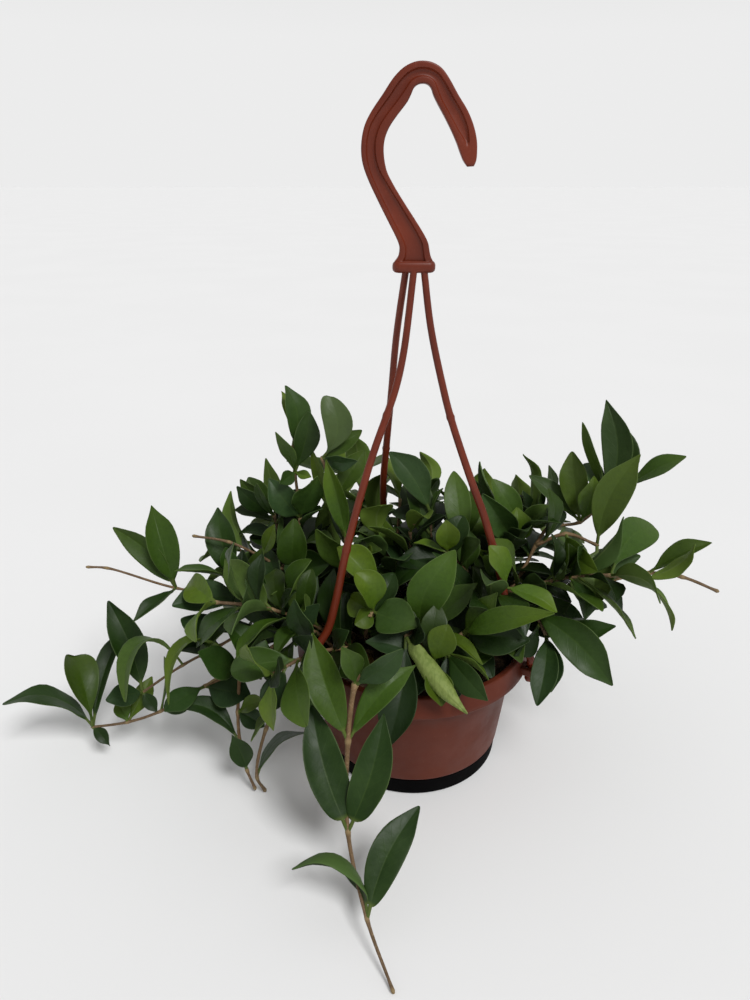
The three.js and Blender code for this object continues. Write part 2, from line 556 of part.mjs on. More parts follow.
// Closed leaf from its base to its tip, with its upper face turned toward `face`.
function leafSolid(base, tip, face, width, bend, youth, grow, bladeOnly = false) {
  const chord = tip.clone().sub(base);
  const along = chord.clone().normalize();
  const up = face.clone().addScaledVector(along, -face.dot(along)).normalize();
  const side = along.clone().cross(up);
  const turn = Math.max(bend * DEG, LEAST_TURN);
  const length = (chord.length() * turn) / 2 / sin(turn / 2);
  const middle = (LEAF_THICK - YOUNG_THINNER * youth) / 2;
  const blades = SECTIONS[length > BIG_LEAF ? 1 : 0];
  const rows = blades.map((q) => {
    const half = (width / 2) * bladeShape(q);
    return [PETIOLE.share + (1 - PETIOLE.share) * q, half, middle, half * LEAF_RISE];
  });
  if (!bladeOnly) rows.unshift([PETIOLE.start / length, PETIOLE.halfWidth, PETIOLE.halfThick, 0]);
  const vertices = [];
  rows.forEach(([s, half, thick, rise]) => {
    const angle = turn / 2 - turn * s;
    const centre = base.clone()
      .addScaledVector(along, (length / turn) * (sin(turn / 2) - sin(angle)))
      .addScaledVector(up, (length / turn) * (cos(angle) - cos(turn / 2)));
    const out = up.clone().multiplyScalar(cos(angle)).addScaledVector(along, -sin(angle));
    const corner = (a, b) => {
      const p = centre.clone().addScaledVector(side, a).addScaledVector(out, b);
      vertices.push(p.x, p.y, p.z);
    };
    corner(-half - grow, rise);
    corner(0, thick + grow);
    corner(half + grow, rise);
    corner(0, -thick - grow);
  });
  vertices.push(tip.x, tip.y, tip.z);
  const triangles = [0, 1, 2, 0, 2, 3];
  const last = rows.length - 1;
  for (let i = 0; i < last; i += 1) {
    const a = i * 4;
    const b = a + 4;
    triangles.push(a, b, b + 1, a, b + 1, a + 1);
    triangles.push(a + 2, b + 1, b + 2, a + 2, a + 1, b + 1);
    triangles.push(a, b + 3, b, a, a + 3, b + 3);
    triangles.push(a + 2, b + 2, b + 3, a + 2, b + 3, a + 3);
  }
  const end = last * 4;
  const point = end + 4;
  triangles.push(end, point, end + 1, end + 1, point, end + 2, end + 2, point, end + 3, end + 3, point, end);
  return solidOf(vertices, triangles);
}

// Tip of a sighted leaf: on its sight line, at the wanted distance from the base.
function sightedTip(base, across, down, distance) {
  const ray = sightRay(across, down).normalize();
  const toBase = base.clone().sub(EYE);
  const nearest = toBase.dot(ray);
  const gap = toBase.lengthSq() - nearest * nearest;
  const reach = Math.sqrt(Math.max(distance * distance - gap, 0));
  return { ray, range: nearest - reach * NEAR_SHARE };
}

function sightedLeaf(base, row, move) {
  const [across, down, length, width, roll, bend, youth] = row;
  const turn = Math.max(bend * DEG, LEAST_TURN);
  const { ray, range } = sightedTip(base, across, down, (length * sin(turn / 2)) / (turn / 2));
  const tip = EYE.clone().addScaledVector(ray, range - move[0]);
  tip.z = Math.max(tip.z, LOWEST_TIP.sighted);
  const along = tip.clone().sub(base).normalize();
  const toEye = EYE.clone().sub(base).normalize();
  toEye.addScaledVector(along, -toEye.dot(along)).normalize();
  const right = along.clone().cross(toEye);
  const angle = (roll + move[1]) * DEG;
  const face = toEye.multiplyScalar(cos(angle)).addScaledVector(right, sin(angle));
  return { base, tip, face, width, bend, youth };
}

// A grown leaf stands off its stem at an angle, turned around it, with its face to the stem tip.
function grownLeaf(base, stemAlong, spec, move) {
  const side = new THREE.Vector3(0, 0, 1).cross(stemAlong);
  if (side.lengthSq() < WELD) side.set(1, 0, 0);
  side.normalize().applyAxisAngle(stemAlong, (spec.around + move[0]) * DEG);
  const angle = (spec.spread + move[1]) * DEG;
  const tip = base.clone()
    .addScaledVector(stemAlong, spec.length * cos(angle))
    .addScaledVector(side, spec.length * sin(angle));
  tip.z = Math.max(tip.z, LOWEST_TIP.grown);
  const face = stemAlong.clone().add(new THREE.Vector3(0, 0, FACE_UP));
  return { base, tip, face, width: spec.width, bend: spec.bend, youth: spec.youth };
}

function buildLeaf(leaf, grow, bladeOnly = false) {
  return leafSolid(leaf.base, leaf.tip, leaf.face, leaf.width, leaf.bend, leaf.youth, grow, bladeOnly);
}

// ------------------------------------------------------------ plant assembly
const placed = []; // everything that later leaves must stay clear of

function remember(solid, owner, blade = solid) {
  placed.push({ solid, blade, box: solid.boundingBox(), owner });
}

function boxesMeet(a, b) {
  return [0, 1, 2].every((i) => a.min[i] <= b.max[i] && b.min[i] <= a.max[i]);
}

const meets = (a, b) => a.intersect(b).volume() > TOUCH_VOLUME;

// A solid is clear when it meets nothing placed so far. It may meet its own stem, and a leaf of
// its own node only at the root.
function isClear(solid, blade = solid, stemName = '', key = '') {
  const box = solid.boundingBox();
  return placed.every((other) => {
    if (other.owner === stemName || !boxesMeet(box, other.box)) return true;
    if (other.owner === key) return !meets(blade, other.solid) && !meets(solid, other.blade);
    return !meets(solid, other.solid);
  });
}

// A stem's root in the soil and the collar where it comes out.
function stemRoot([x, y]) {
  return { down: vec([x, y, SOIL.top - STEM.rootDepth]), collar: vec([x, y, SOIL.top + STEM.collar]) };
}

// Stem through its points, ending in a short bud past the last one.
function stemRod(points) {
  const end = points[points.length - 1];
  const bud = end.clone().sub(points[points.length - 2]).setLength(STEM.pastEnd).add(end);
  const whole = [...points.slice(0, -1), bud];
  return rod(whole, tapered(whole, STEM.radius, STEM.tip), STEM.sides);
}

function sightedStem([name, place, way, shoots]) {
  const { down, collar } = stemRoot(place);
  const rods = shoots.map((nodes, i) => {
    const sights = nodes.map(([point]) => sighted(point));
    if (i > 0) return stemRod(smoothed(sights, STEM.step));
    return stemRod([down, ...smoothed([collar, ...way.map(vec), ...sights], STEM.step)]);
  });
  const leaves = [];
  shoots.forEach((nodes, shoot) => nodes.forEach(([point, ...rows], node) => {
    rows.forEach((row) => {
      const make = (move) => sightedLeaf(sighted(point), row, move);
      leaves.push({ key: `${name} ${shoot} ${node}`, make, moves: SIGHTED_MOVES });
    });
  }));
  return { name, place, solid: union(rods), leaves };
}

function grownStem(rule, index, random) {
  const name = `${rule.name}_${index + 1}`;
  const [from, to] = rule.sector;
  const middle = from + ((to - from) * (index + random(...IN_SHARE))) / rule.count;
  const ring = random(...rule.soilRing);
  const lean = random(...rule.lean);
  const droop = random(...rule.droop);
  const count = Math.round(random(...rule.nodes));
  const specs = Array.from({ length: count * 2 }, (_, i) => {
    const isTop = Math.floor(i / 2) === count - 1;
    return {
      around: 90 * (Math.floor(i / 2) % 2) + 180 * (i % 2) + random(-UNEVEN, UNEVEN),
      spread: random(...rule.spread),
      length: random(...rule.leafLength) * (isTop ? TOP_SHORTER : 1),
      width: random(...rule.leafWidth),
      bend: random(...GROWN_BEND),
      youth: isTop ? 2 : Math.round(random()),
    };
  });
  const build = (turn) => {
    const azimuth = (middle + turn) * DEG;
    const { down, collar } = stemRoot(around(ring, azimuth));
    const points = [collar];
    const alongs = [];
    for (let i = 0; i < count; i += 1) {
      const tilt = Math.min(lean + droop * i, MOST_TILT) * DEG;
      const along = vec([...around(sin(tilt), azimuth), cos(tilt)]);
      points.push(points[i].clone().addScaledVector(along, i === 0 ? rule.first : rule.spacing));
      alongs.push(along);
    }
    return { points, alongs, solid: stemRod([down, ...smoothed(points, STEM.step)]), down };
  };
  const tries = STEM_TURNS.map(build);
  const chosen = tries.find(({ solid }) => isClear(solid));
  if (!chosen) return null;
  const leaves = specs.map((spec, i) => {
    const node = Math.floor(i / 2);
    const make = (move) => grownLeaf(chosen.points[node + 1], chosen.alongs[node], spec, move);
    return { key: `${name} ${node}`, make, moves: GROWN_MOVES };
  });
  return { name, place: [chosen.down.x, chosen.down.y], solid: chosen.solid, leaves };
}

// Leaves of one stem that find room, each held clear of everything but its own node.
function placeLeaves(stem) {
  const kept = [];
  stem.leaves.forEach(({ key, make, moves }) => {
    const move = moves.find((m) => isClear(
      buildLeaf(make(m), KEEP_CLEAR), buildLeaf(make(m), KEEP_CLEAR, true), stem.name, key));
    if (!move) return;
    const solid = buildLeaf(make(move), 0);
    remember(solid, key, buildLeaf(make(move), 0, true));
    kept.push(solid);
  });
  return kept;
}

// Lower a solid until it all but touches the ground below it.
function laidOn(ground, solid) {
  let lowered = solid;
  let gap = lowered.minGap(ground, LAID_FROM);
  while (gap > GAP * LAID_CLOSE) {
    lowered = lowered.translate(0, 0, GAP - gap);
    gap = lowered.minGap(ground, LAID_FROM);
  }
  return lowered;
}

function makeFallenLeaf() {
  const { base, tip, width, bend, youth } = FALLEN_LEAF;
  const raised = (place) => vec([...place, LAID_FROM]);
  return leafSolid(raised(base), raised(tip), vec([0, 0, 1]), width, bend, youth, 0);
}

function makeTwig() {
  const points = smoothed(TWIG.points.map(([x, y]) => vec([x, y, LAID_FROM])), TWIG.step);
  return rod(points, tapered(points, ...TWIG.radii), STEM.sides);
}

function soilHole({ place: [x, y] }) {
  const low = SOIL.top - STEM.rootDepth - HOLE.deeper;
  return upright(HOLE.radius, low, SOIL.top + HOLE.over, STEM.sides, x, y);
}

const pot = makePot();
const saucer = turned(SAUCER);
const hanger = makeHanger();
const soil = makeSoil();
const fallenLeaf = laidOn(soil, makeFallenLeaf());
const twig = laidOn(soil, makeTwig());
[pot, saucer, hanger, fallenLeaf, twig].forEach((solid) => remember(solid, 'not grown'));
const stems = STEMS.map(sightedStem);
stems.forEach((stem) => remember(stem.solid, stem.name));
const random = makeRandom(SEED);
GROWN.forEach((rule) => {
  for (let i = 0; i < rule.count; i += 1) {
    const stem = grownStem(rule, i, random);
    if (stem) {
      stems.push(stem);
      remember(stem.solid, stem.name);
    }
  }
});
remember(soil, 'soil');
const leafyStems = stems
  .map((stem) => ({ ...stem, kept: placeLeaves(stem) }))
  .filter(({ kept }) => kept.length > 0);

const group = new THREE.Group();
group.name = 'potted_lipstick_plant';
group.add(meshOf('pot', pot, FINISH.pot));
group.add(meshOf('saucer', saucer, FINISH.saucer));
group.add(meshOf('hanger', hanger, FINISH.hanger));
group.add(meshOf('soil', soil.subtract(union(leafyStems.map(soilHole))), FINISH.soil));
group.add(meshOf('leaf_fallen', fallenLeaf, FINISH.fallenLeaf));
group.add(meshOf('twig_dry', twig, FINISH.twig));
leafyStems.forEach(({ name, solid, kept }) => {
  group.add(meshOf(name, union([solid, ...kept]).asOriginal().simplify(SIMPLER), FINISH.foliage));
});

export default group;
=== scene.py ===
"""Looks of a potted lipstick plant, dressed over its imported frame.

Lengths in this script are millimetres in the frame's own axes, +Z up, and MM turns them into metres.
The plant's stems and leaves repeat the construction of the frame: each fine stem follows the same
way as its CAD node, and each fine leaf takes the place that its coarse leaf has in that node.
"""
import math
import random

import bmesh
import bpy
import numpy as np
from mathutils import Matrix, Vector, noise
from mathutils.kdtree import KDTree


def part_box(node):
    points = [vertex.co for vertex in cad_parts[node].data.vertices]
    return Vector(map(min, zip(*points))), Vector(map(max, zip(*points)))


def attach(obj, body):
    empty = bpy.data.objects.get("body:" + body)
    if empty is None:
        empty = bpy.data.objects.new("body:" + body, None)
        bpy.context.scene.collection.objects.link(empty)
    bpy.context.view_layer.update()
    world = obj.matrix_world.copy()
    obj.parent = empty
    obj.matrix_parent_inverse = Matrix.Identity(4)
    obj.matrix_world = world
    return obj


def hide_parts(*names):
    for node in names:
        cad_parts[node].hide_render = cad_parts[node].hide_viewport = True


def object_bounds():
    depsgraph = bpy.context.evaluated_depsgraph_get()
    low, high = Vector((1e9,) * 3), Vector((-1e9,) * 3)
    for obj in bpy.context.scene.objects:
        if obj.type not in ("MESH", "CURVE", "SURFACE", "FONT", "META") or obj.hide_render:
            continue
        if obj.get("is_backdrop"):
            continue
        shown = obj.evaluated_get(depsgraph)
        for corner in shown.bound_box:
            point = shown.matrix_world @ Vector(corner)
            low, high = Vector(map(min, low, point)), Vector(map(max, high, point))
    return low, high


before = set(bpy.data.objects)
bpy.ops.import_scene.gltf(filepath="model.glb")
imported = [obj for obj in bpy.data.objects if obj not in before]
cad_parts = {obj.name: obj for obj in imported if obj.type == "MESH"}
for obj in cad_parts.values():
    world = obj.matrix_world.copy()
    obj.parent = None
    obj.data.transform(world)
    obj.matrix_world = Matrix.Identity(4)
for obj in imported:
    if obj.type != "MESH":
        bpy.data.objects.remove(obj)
CAD_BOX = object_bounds()
MM = 0.001
TURN = 2 * math.pi
UP = np.array([0.0, 0.0, 1.0])

# ------------------------------------------------------------------ pot, saucer and hanger
ROUND_STEPS = 128  # sides of what is turned
POT_PROFILE = [  # radius and height, up the outside and down the inside
    (0, 12.3), (57.6, 12.3), (59, 13.6), (66, 74.2), (75, 74.2), (75, 77), (72.6, 86.4), (71.8, 87),
    (69.4, 87), (68.6, 86.4), (66.2, 78), (64, 73), (57.4, 14.6), (0, 14.6),
]
DRAIN = dict(count=6, ring=34, radius=3.5)
LUG = dict(radius=78.5, inner=71, outer=83, width=9, low=76.6, high=81.8, hole=2.3)
LUG_TURNS = [-27, 97.5, 213]
SAUCER_PROFILE = [
    (0, 0), (56.2, 0), (57.4, 1.2), (58.2, 12), (56.2, 12), (55.6, 2.4),
    (49, 2.4), (48.6, 12), (46.4, 12), (46, 2.4), (0, 2.4),
]
SOIL = dict(top=78, bottom=14.9, gap=0.35, wall=[(57.4, 14.6), (64, 73), (66.2, 78)])
SOIL_WAVES = dict(height=1.6, along_x=0.11, along_y=0.13, shift=1, sunk=0.6, edge=4)

HOOK = [  # outer and inner edge of the strip as x and z, and its thin web as shares of the width
    [(-14.3, 313.6), (5.9, 313.6), (0.2, 0.8)], [(-12.4, 316.3), (4.5, 316.3), (0.2, 0.8)],
    [(-11.8, 319.6), (3.7, 319.6), (0.2, 0.8)], [(-12.1, 321.9), (3.1, 322.5), (0.19, 0.8)],
    [(-13.9, 326), (1.4, 326), (0.18, 0.8)], [(-17.5, 332.6), (-2.4, 331.8), (0.18, 0.8)],
    [(-23.4, 343.6), (-9.8, 342.3), (0.2, 0.8)], [(-28.1, 353), (-15.5, 350.9), (0.21, 0.76)],
    [(-30.6, 359.7), (-18.8, 357.2), (0.22, 0.68)], [(-31.4, 365.5), (-20.2, 365.5), (0.22, 0.63)],
    [(-30.9, 372), (-19.6, 371.2), (0.22, 0.62)], [(-29.3, 377.6), (-17.3, 376.4), (0.22, 0.62)],
    [(-26.1, 383.2), (-13.4, 381.6), (0.24, 0.64)], [(-20.8, 390.2), (-8.8, 387.1), (0.26, 0.66)],
    [(-15.6, 397.2), (-7.1, 390.2), (0.28, 0.7)], [(-10.8, 401.4), (-5.8, 392.9), (0.3, 0.7)],
    [(-6, 403.5), (-3.9, 394.3), (0.3, 0.7)], [(-1.9, 404), (-1.8, 394.7), (0.3, 0.7)],
    [(2.7, 403.3), (0.5, 394.3), (0.3, 0.7)], [(7.1, 401), (2.3, 392.7), (0.28, 0.7)],
    [(10.8, 396.8), (3.3, 390.2), (0.26, 0.74)], [(15.5, 389.8), (5, 387.1), (0.25, 0.78)],
    [(20.3, 383.2), (9.3, 380.4), (0.25, 0.78)], [(23.5, 376.8), (13.1, 374), (0.27, 0.74)],
    [(25.4, 370.4), (15.8, 368.8), (0.38, 0.6)], [(25.8, 365.5), (17.2, 365.5), None],
    [(25.6, 361.4), (19.2, 361.4), None], [(24.6, 358.8), (21.4, 358.6), None],
]
HOOK_DEPTH = 4.6
WEB_DEPTH = 1.8
FOOT = dict(x=-4.1, width=22.6, depth=8, low=308, high=314)
ARM = dict(top_radius=1.85, end_radius=2.5, nub=1.17, nub_reach=1.1, sides=16)
PIN = dict(radius=1.6, bead=2.8, bead_low=71, bead_high=75.6, seat=84.6, neck=2.5)
ARMS = [  # lug, point numbers of the nubs, and the way down from the foot
    (0, (3, 6), [(1, -1, 311), (5.5, -4, 280), (13, -8, 248), (17.5, -11, 232), (30, -18, 197),
                 (37.5, -22, 178), (44, -25, 158), (47.5, -26.5, 147), (56, -30, 114), (64, -33, 98)]),
    (1, (3, 5), [(-8, 1, 311), (-12.5, 10, 273), (-15, 20, 235.5), (-17.5, 30, 199), (-19, 42, 171),
                 (-18, 55, 140), (-14, 67, 112), (-11, 74, 98)]),
    (2, (3, 6), [(-4, -2, 311), (-9, -6, 267), (-13, -9, 248.5), (-18, -12, 233.5), (-24, -15.5, 217),
                 (-29.5, -19, 200), (-41, -26, 157), (-48, -31, 124), (-53, -35, 107), (-60, -39, 97)]),
]
TWIG = dict(points=[(-42, 5), (-33, -2), (-28, -8), (-21, -13)], radii=(1.1, 0.8))
FALLEN_LEAF = dict(base=(-42, -16), tip=(-24, -34), width=15, bend=14)

# ------------------------------------------------------------------------------ the plant
# Sight lines start at the camera and cross a picture of 750 by 1000 at [across, down].
EYE = np.array([-24.5, -396.0, 354.0])
PITCH = math.radians(24.1)
PICTURE = dict(x=375, y=500, focal=722)
LENS, SENSOR = 26.0, 36  # the sensor's side along the picture's height

STEM = dict(radius=1.45, tip=1.15, root_depth=14, collar=4, past_end=1.2)
PETIOLE_SHARE = 0.1  # share of a leaf's length before its blade
LEAF_RISE = 0.24  # how far a coarse blade's sides stand above its middle
BIG_LEAF = 56  # longer coarse leaves have the second set of sections
SECTIONS = [[0.22, 0.64], [0.14, 0.42, 0.76]]
BLADE = dict(skew=0.8, fullness=0.85)
NEAR_SHARE = 0.6  # sighted leaves lean somewhat toward the eye
LEAST_TURN = 0.02  # radians that even a straight leaf bends
LOWEST_TIP = dict(sighted=1, grown=3)
FOUND_WITHIN = 0.35  # a coarse leaf's corners lie this close to where its formula puts them

# What a sighted leaf may change to stay clear, either way: nearer, and a turn about its length.
SIGHTED_MOVES = [(0, 0)] + [(way * near, way * roll) for near, roll in (
    (4, 0), (8, 0), (0, 14), (6, 14), (-6, 14), (13, 0), (0, 28), (12, 22), (-12, 22), (20, 0),
    (20, 30), (-20, 30), (28, 0), (0, 50), (30, 40)) for way in (1, -1)]
# Each stem: name, soil place, points on its way over the rim, then its shoots. A shoot is a
# row of leaf nodes: sighted point, then its leaves as
# [tip across, tip down, length, width, roll, bend, youth].
STEMS = [
    ["stem_front_trail", [-24, -40], [[-30, -60, 98]], [[
        [[355, 685, -79], [345, 648, 36, 14, 30, 20, 1], [403, 651, 48, 20, 15, 25, 0]],
        [[348, 741, -91], [312, 632, 58, 25, 0, 25, 1], [415, 660, 56, 20, -20, 25, 1]],
        [[348, 832, -118], [312, 704, 66, 24, 10, 15, 0], [384, 713, 64, 23, -10, 15, 0]],
        [[367, 919, -152], [420, 805, 58, 22, 0, 15, 0], [289, 860, 55, 20, 50, 95, 0]],
        [[393, 991, -178.6]],
    ]]],
    ["stem_left_low", [-50, -18], [[-64, -20, 97]], [[
        [[283, 640, -22]],
        [[240, 670, -26], [161, 704, 66, 18, 70, 110, 2], [197, 652, 40, 22, 20, 20, 0]],
        [[205, 686, -28], [250, 693, 42, 26, -15, 20, 0], [164, 712, 38, 16, 20, 10, 0]],
        [[161, 711, -26], [196, 690, 32, 16, 0, 20, 0], [165, 656, 38, 16, 60, 20, 1]],
        [[128, 722, -24], [152, 676, 32, 14, -20, 5, 2], [116, 700, 17, 12, 0, 5, 2]],
        [[93, 727, -22], [1, 698, 60, 22, 55, 60, 0], [74, 656, 52, 26, 0, 75, 1],
            [126, 623, 62, 24, -40, 20, 0], [110, 746, 20, 10, 0, 30, 0]],
    ], [
        [[240, 670, -26]],
        [[238, 712, -40], [264, 726, 30, 14, 0, 20, 0], [266, 700, 30, 14, -30, 10, 2]],
        [[240, 742, -48], [170, 702, 50, 20, 35, 25, 0]],
        [[247, 770, -54], [232, 735, 28, 19, 0, 15, 0]],
        [[255, 788, -56]],
    ]]],
    ["stem_left_mid", [-50, 4], [[-66, 2, 98]], [[
        [[262, 622, -4]],
        [[219, 646, -8], [178, 650, 38, 18, 30, 20, 0], [183, 618, 46, 22, 20, 20, 0]],
        [[183, 665, -12], [120, 703, 66, 18, 65, 120, 1]],
        [[143, 692, -17], [108, 600, 62, 24, 0, 20, 0], [106, 700, 34, 18, 20, 30, 0],
            [157, 712, 18, 10, 0, 5, 0]],
    ]]],
    ["stem_left_out", [-42, 12], [[-58, 8, 100]], [[
        [[245, 597, 0], [172, 607, 50, 26, 45, 30, 0], [262, 571, 40, 24, 0, 50, 0]],
        [[176, 588, -4], [151, 504, 52, 25, 0, 45, 1], [113, 527, 52, 20, -25, 15, 1],
            [130, 618, 46, 20, 60, 25, 0]],
        [[107, 568, -6]],
        [[88, 567, -8]],
    ]]],
    ["stem_left_upper", [-34, 22], [[-52, 20, 108]], [[
        [[262, 600, 14]],
        [[230, 577, 10], [216, 506, 48, 24, -10, 15, 0], [174, 572, 42, 18, 75, 15, 1],
            [226, 548, 22, 14, 0, 10, 0], [275, 523, 50, 26, -40, 60, 1]],
    ]]],
    ["stem_left_bare", [-30, 32], [[-42, 30, 108]], [[
        [[293, 573, 18], [330, 562, 42, 24, -30, 20, 0], [294, 518, 42, 24, 0, 60, 1]],
        [[262, 557, 16], [275, 524, 34, 12, -40, 10, 2]],
        [[229, 542, 12]],
        [[194, 536, 10]],
    ]]],
    ["stem_left_near", [-40, -8], [[-62, -14, 99]], [[
        [[276, 637, -21], [237, 577, 46, 22, -30, 15, 0], [319, 576, 50, 24, 15, 20, 0],
            [320, 608, 38, 18, 40, 20, 0]],
    ]]],
    ["stem_hanging_pair", [-46, -34], [[-52, -50, 98]], [[
        [[284, 692, -48], [226, 620, 54, 24, 20, 20, 0], [307, 656, 30, 12, 60, 15, 1],
            [250, 741, 36, 16, 60, 10, 1], [325, 706, 38, 22, 0, 20, 1]],
        [[266, 729, -52]],
        [[257, 777, -56.5], [305, 726, 40, 18, -65, 45, 0]],
        [[265, 790, -56]],
    ]]],
    ["stem_top_left", [-32, 24], [], [[
        [[300, 555, 26]],
        [[300, 518, 30], [268, 479, 42, 22, -10, 40, 0], [318, 478, 42, 22, 20, 10, 1]],
        [[295, 472, 34], [311, 413, 44, 20, 20, 10, 0], [275, 432, 36, 14, -50, 25, 1],
            [279, 484, 20, 12, 0, 20, 0], [311, 477, 15, 8, 0, 20, 2]],
        [[293, 446, 36], [286, 385, 40, 20, 10, 20, 0], [280, 389, 38, 14, -30, 20, 2]],
    ]]],
    ["stem_top_mid", [-18, 14], [], [[
        [[346, 572, 8], [316, 529, 48, 20, -20, 10, 1]],
        [[346, 540, 12], [326, 459, 56, 18, -10, 10, 2], [308, 445, 64, 12, -50, 10, 2]],
        [[336, 500, 18], [365, 449, 44, 18, 20, 30, 1]],
        [[322, 458, 24], [330, 396, 42, 22, -10, 60, 1], [360, 429, 32, 16, -20, 5, 1],
            [355, 464, 28, 14, 40, 5, 0]],
    ]]],
    ["stem_left_high", [-38, 38], [], [[
        [[290, 560, 40]],
        [[274, 515, 40], [236, 488, 38, 16, -35, 20, 0], [240, 479, 40, 14, -10, 10, 1],
            [248, 477, 42, 20, -10, 20, 1], [256, 484, 32, 10, -40, 20, 1]],
    ]]],
    ["stem_rosette", [-20, -2], [], [[
        [[366, 636, -24], [338, 588, 34, 16, 20, 10, 2]],
        [[373, 612, -34], [357, 571, 32, 24, 40, 60, 2], [350, 598, 24, 18, -20, 60, 2],
            [417, 627, 34, 26, -10, 20, 1], [355, 624, 24, 16, 0, 30, 2]],
    ]]],
    ["stem_centre_back", [-2, 22], [], [[
        [[405, 585, 20], [382, 517, 48, 18, -20, 15, 2], [372, 550, 30, 14, 0, 5, 1]],
        [[430, 555, 26], [408, 468, 56, 22, 20, 15, 0]],
        [[430, 512, 34], [390, 451, 50, 24, 20, 20, 0], [443, 488, 16, 7, -60, 5, 0]],
    ], [
        [[405, 585, 20]],
        [[398, 540, 36], [368, 508, 34, 16, 20, 10, 0]],
        [[400, 500, 42], [384, 453, 34, 14, 20, 10, 2]],
    ]]],
    ["stem_centre_round", [14, 14], [], [[
        [[466, 572, 4], [468, 528, 30, 20, 0, 60, 0]],
        [[462, 548, 14], [454, 472, 48, 20, 0, 70, 1], [462, 487, 46, 26, 0, 60, 1]],
    ], [
        [[466, 572, 4]],
        [[447, 552, -2], [446, 520, 26, 18, 0, 40, 2], [414, 541, 24, 12, 60, 10, 2]],
    ]]],
    ["stem_centre_right", [26, 12], [], [[
        [[503, 580, 4], [484, 557, 26, 14, 20, 20, 1]],
        [[515, 545, 12], [484, 496, 56, 24, 0, 20, 0], [517, 507, 30, 20, 0, 30, 2]],
        [[520, 525, 20], [480, 461, 48, 14, -60, 40, 0], [492, 479, 40, 20, 10, 60, 1],
            [548, 506, 32, 20, 10, 20, 1]],
    ]]],
    ["stem_right_out", [40, -8], [[50, -8, 100]], [[
        [[508, 592, -8]],
        [[523, 570, -2]],
        [[536, 545, 4]],
        [[548, 528, 10]],
        [[580, 522, 16], [572, 451, 46, 22, 0, 15, 1], [567, 470, 34, 12, -40, 10, 2],
            [594, 476, 34, 20, 20, 30, 2], [529, 475, 44, 14, 60, 15, 0]],
        [[606, 500, 22], [606, 399, 62, 24, 0, 15, 0], [579, 423, 52, 18, -60, 20, 1],
            [615, 417, 52, 24, 10, 20, 0], [584, 463, 30, 16, 0, 40, 0]],
        [[628, 486, 26], [686, 455, 42, 20, -40, 25, 1]],
    ], [
        [[536, 545, 4]],
        [[566, 534, 0], [597, 572, 42, 20, 40, 60, 2], [578, 574, 34, 18, 0, 10, 0]],
        [[597, 545, -2], [641, 454, 62, 25, 10, 15, 1], [587, 613, 44, 26, 0, 30, 1]],
    ], [
        [[508, 592, -8]],
        [[562, 589, -12], [640, 556, 50, 20, 20, 20, 0]],
        [[607, 581, -12], [597, 548, 26, 18, 0, 50, 2], [627, 552, 28, 16, 0, 30, 2],
            [648, 511, 46, 26, 0, 30, 1]],
        [[648, 573, -9], [710, 540, 42, 20, -30, 10, 1], [617, 572, 22, 8, 70, 10, 0]],
        [[682, 577, -8]],
        [[717, 591, -8]],
    ]]],
    ["stem_right_low", [42, -20], [[62, -26, 99]], [[
        [[532, 612, -31], [614, 687, 62, 26, 0, 25, 0], [554, 613, 24, 14, -40, 20, 1]],
        [[546, 635, -39], [550, 692, 44, 22, 10, 20, 0], [537, 706, 48, 18, -50, 50, 0],
            [616, 626, 50, 16, 0, 20, 0]],
    ]]],
    ["stem_centre_front", [4, -28], [], [[
        [[420, 628, -36], [478, 583, 46, 20, -20, 20, 1], [486, 659, 46, 14, -70, 20, 2],
            [456, 553, 60, 26, 10, 30, 1]],
        [[406, 636, -48], [468, 714, 62, 22, 15, 40, 2], [388, 748, 62, 25, 0, 25, 0]],
    ]]],
    ["stem_right_front", [26, -34], [], [[
        [[462, 634, -42], [529, 640, 44, 25, 0, 15, 0], [496, 592, 44, 18, -20, 10, 1],
            [554, 612, 62, 18, -50, 40, 2]],
        [[446, 652, -54], [488, 701, 46, 18, 20, 20, 0], [489, 680, 44, 12, -70, 30, 2],
            [455, 702, 44, 18, 0, 20, 0], [440, 714, 56, 18, 0, 30, 0]],
    ]]],
]
# Stems on the far side and in the heart of the plant grow by rule. Each pair of numbers is a range.
SEED = 20260
GROWN = [
    dict(
        name="stem_side", count=5, sector=[146, 222], soil_ring=[34, 46],
        first=24, spacing=17, nodes=[4, 5], lean=[38, 66], droop=[6, 14], spread=[50, 70],
        leaf_length=[40, 52], leaf_width=[20, 25],
    ),
    dict(
        name="stem_front", count=1, sector=[266, 290], soil_ring=[36, 42],
        first=16, spacing=13, nodes=[2, 3], lean=[34, 46], droop=[10, 16], spread=[50, 70],
        leaf_length=[34, 44], leaf_width=[18, 22],
    ),
    dict(
        name="stem_inner", count=8, sector=[20, 380], soil_ring=[6, 40],
        first=16, spacing=16, nodes=[3, 4], lean=[4, 26], droop=[3, 10], spread=[52, 74],
        leaf_length=[38, 52], leaf_width=[19, 25],
    ),
    dict(
        name="stem_far", count=9, sector=[-14, 186], soil_ring=[26, 46],
        first=30, spacing=19, nodes=[4, 6], lean=[34, 66], droop=[6, 13], spread=[48, 68],
        leaf_length=[44, 58], leaf_width=[19, 25],
    ),
]
# What a grown leaf may change, each way: a turn round its stem, and how far it spreads.
GROWN_MOVES = [(0, 0)] + [
    (left * turn, more * spread)
    for turn, spread in ((18, 0), (0, 14), (32, 0), (20, 16), (48, 0), (0, 28), (40, 24))
    for more in (1, -1) for left in (1, -1)]
STEM_TURNS = [0, 6, -6, 12, -12, 18, -18]  # degrees that a whole grown stem may turn
TOP_SHORTER = 0.7  # leaves at a grown stem's end, against the others
GROWN_BEND = [20, 60]
FACE_UP = 0.5
UNEVEN = 16  # degrees
IN_SHARE = [0.2, 0.8]  # where a stem starts within its share of the sector
MOST_TILT = 105


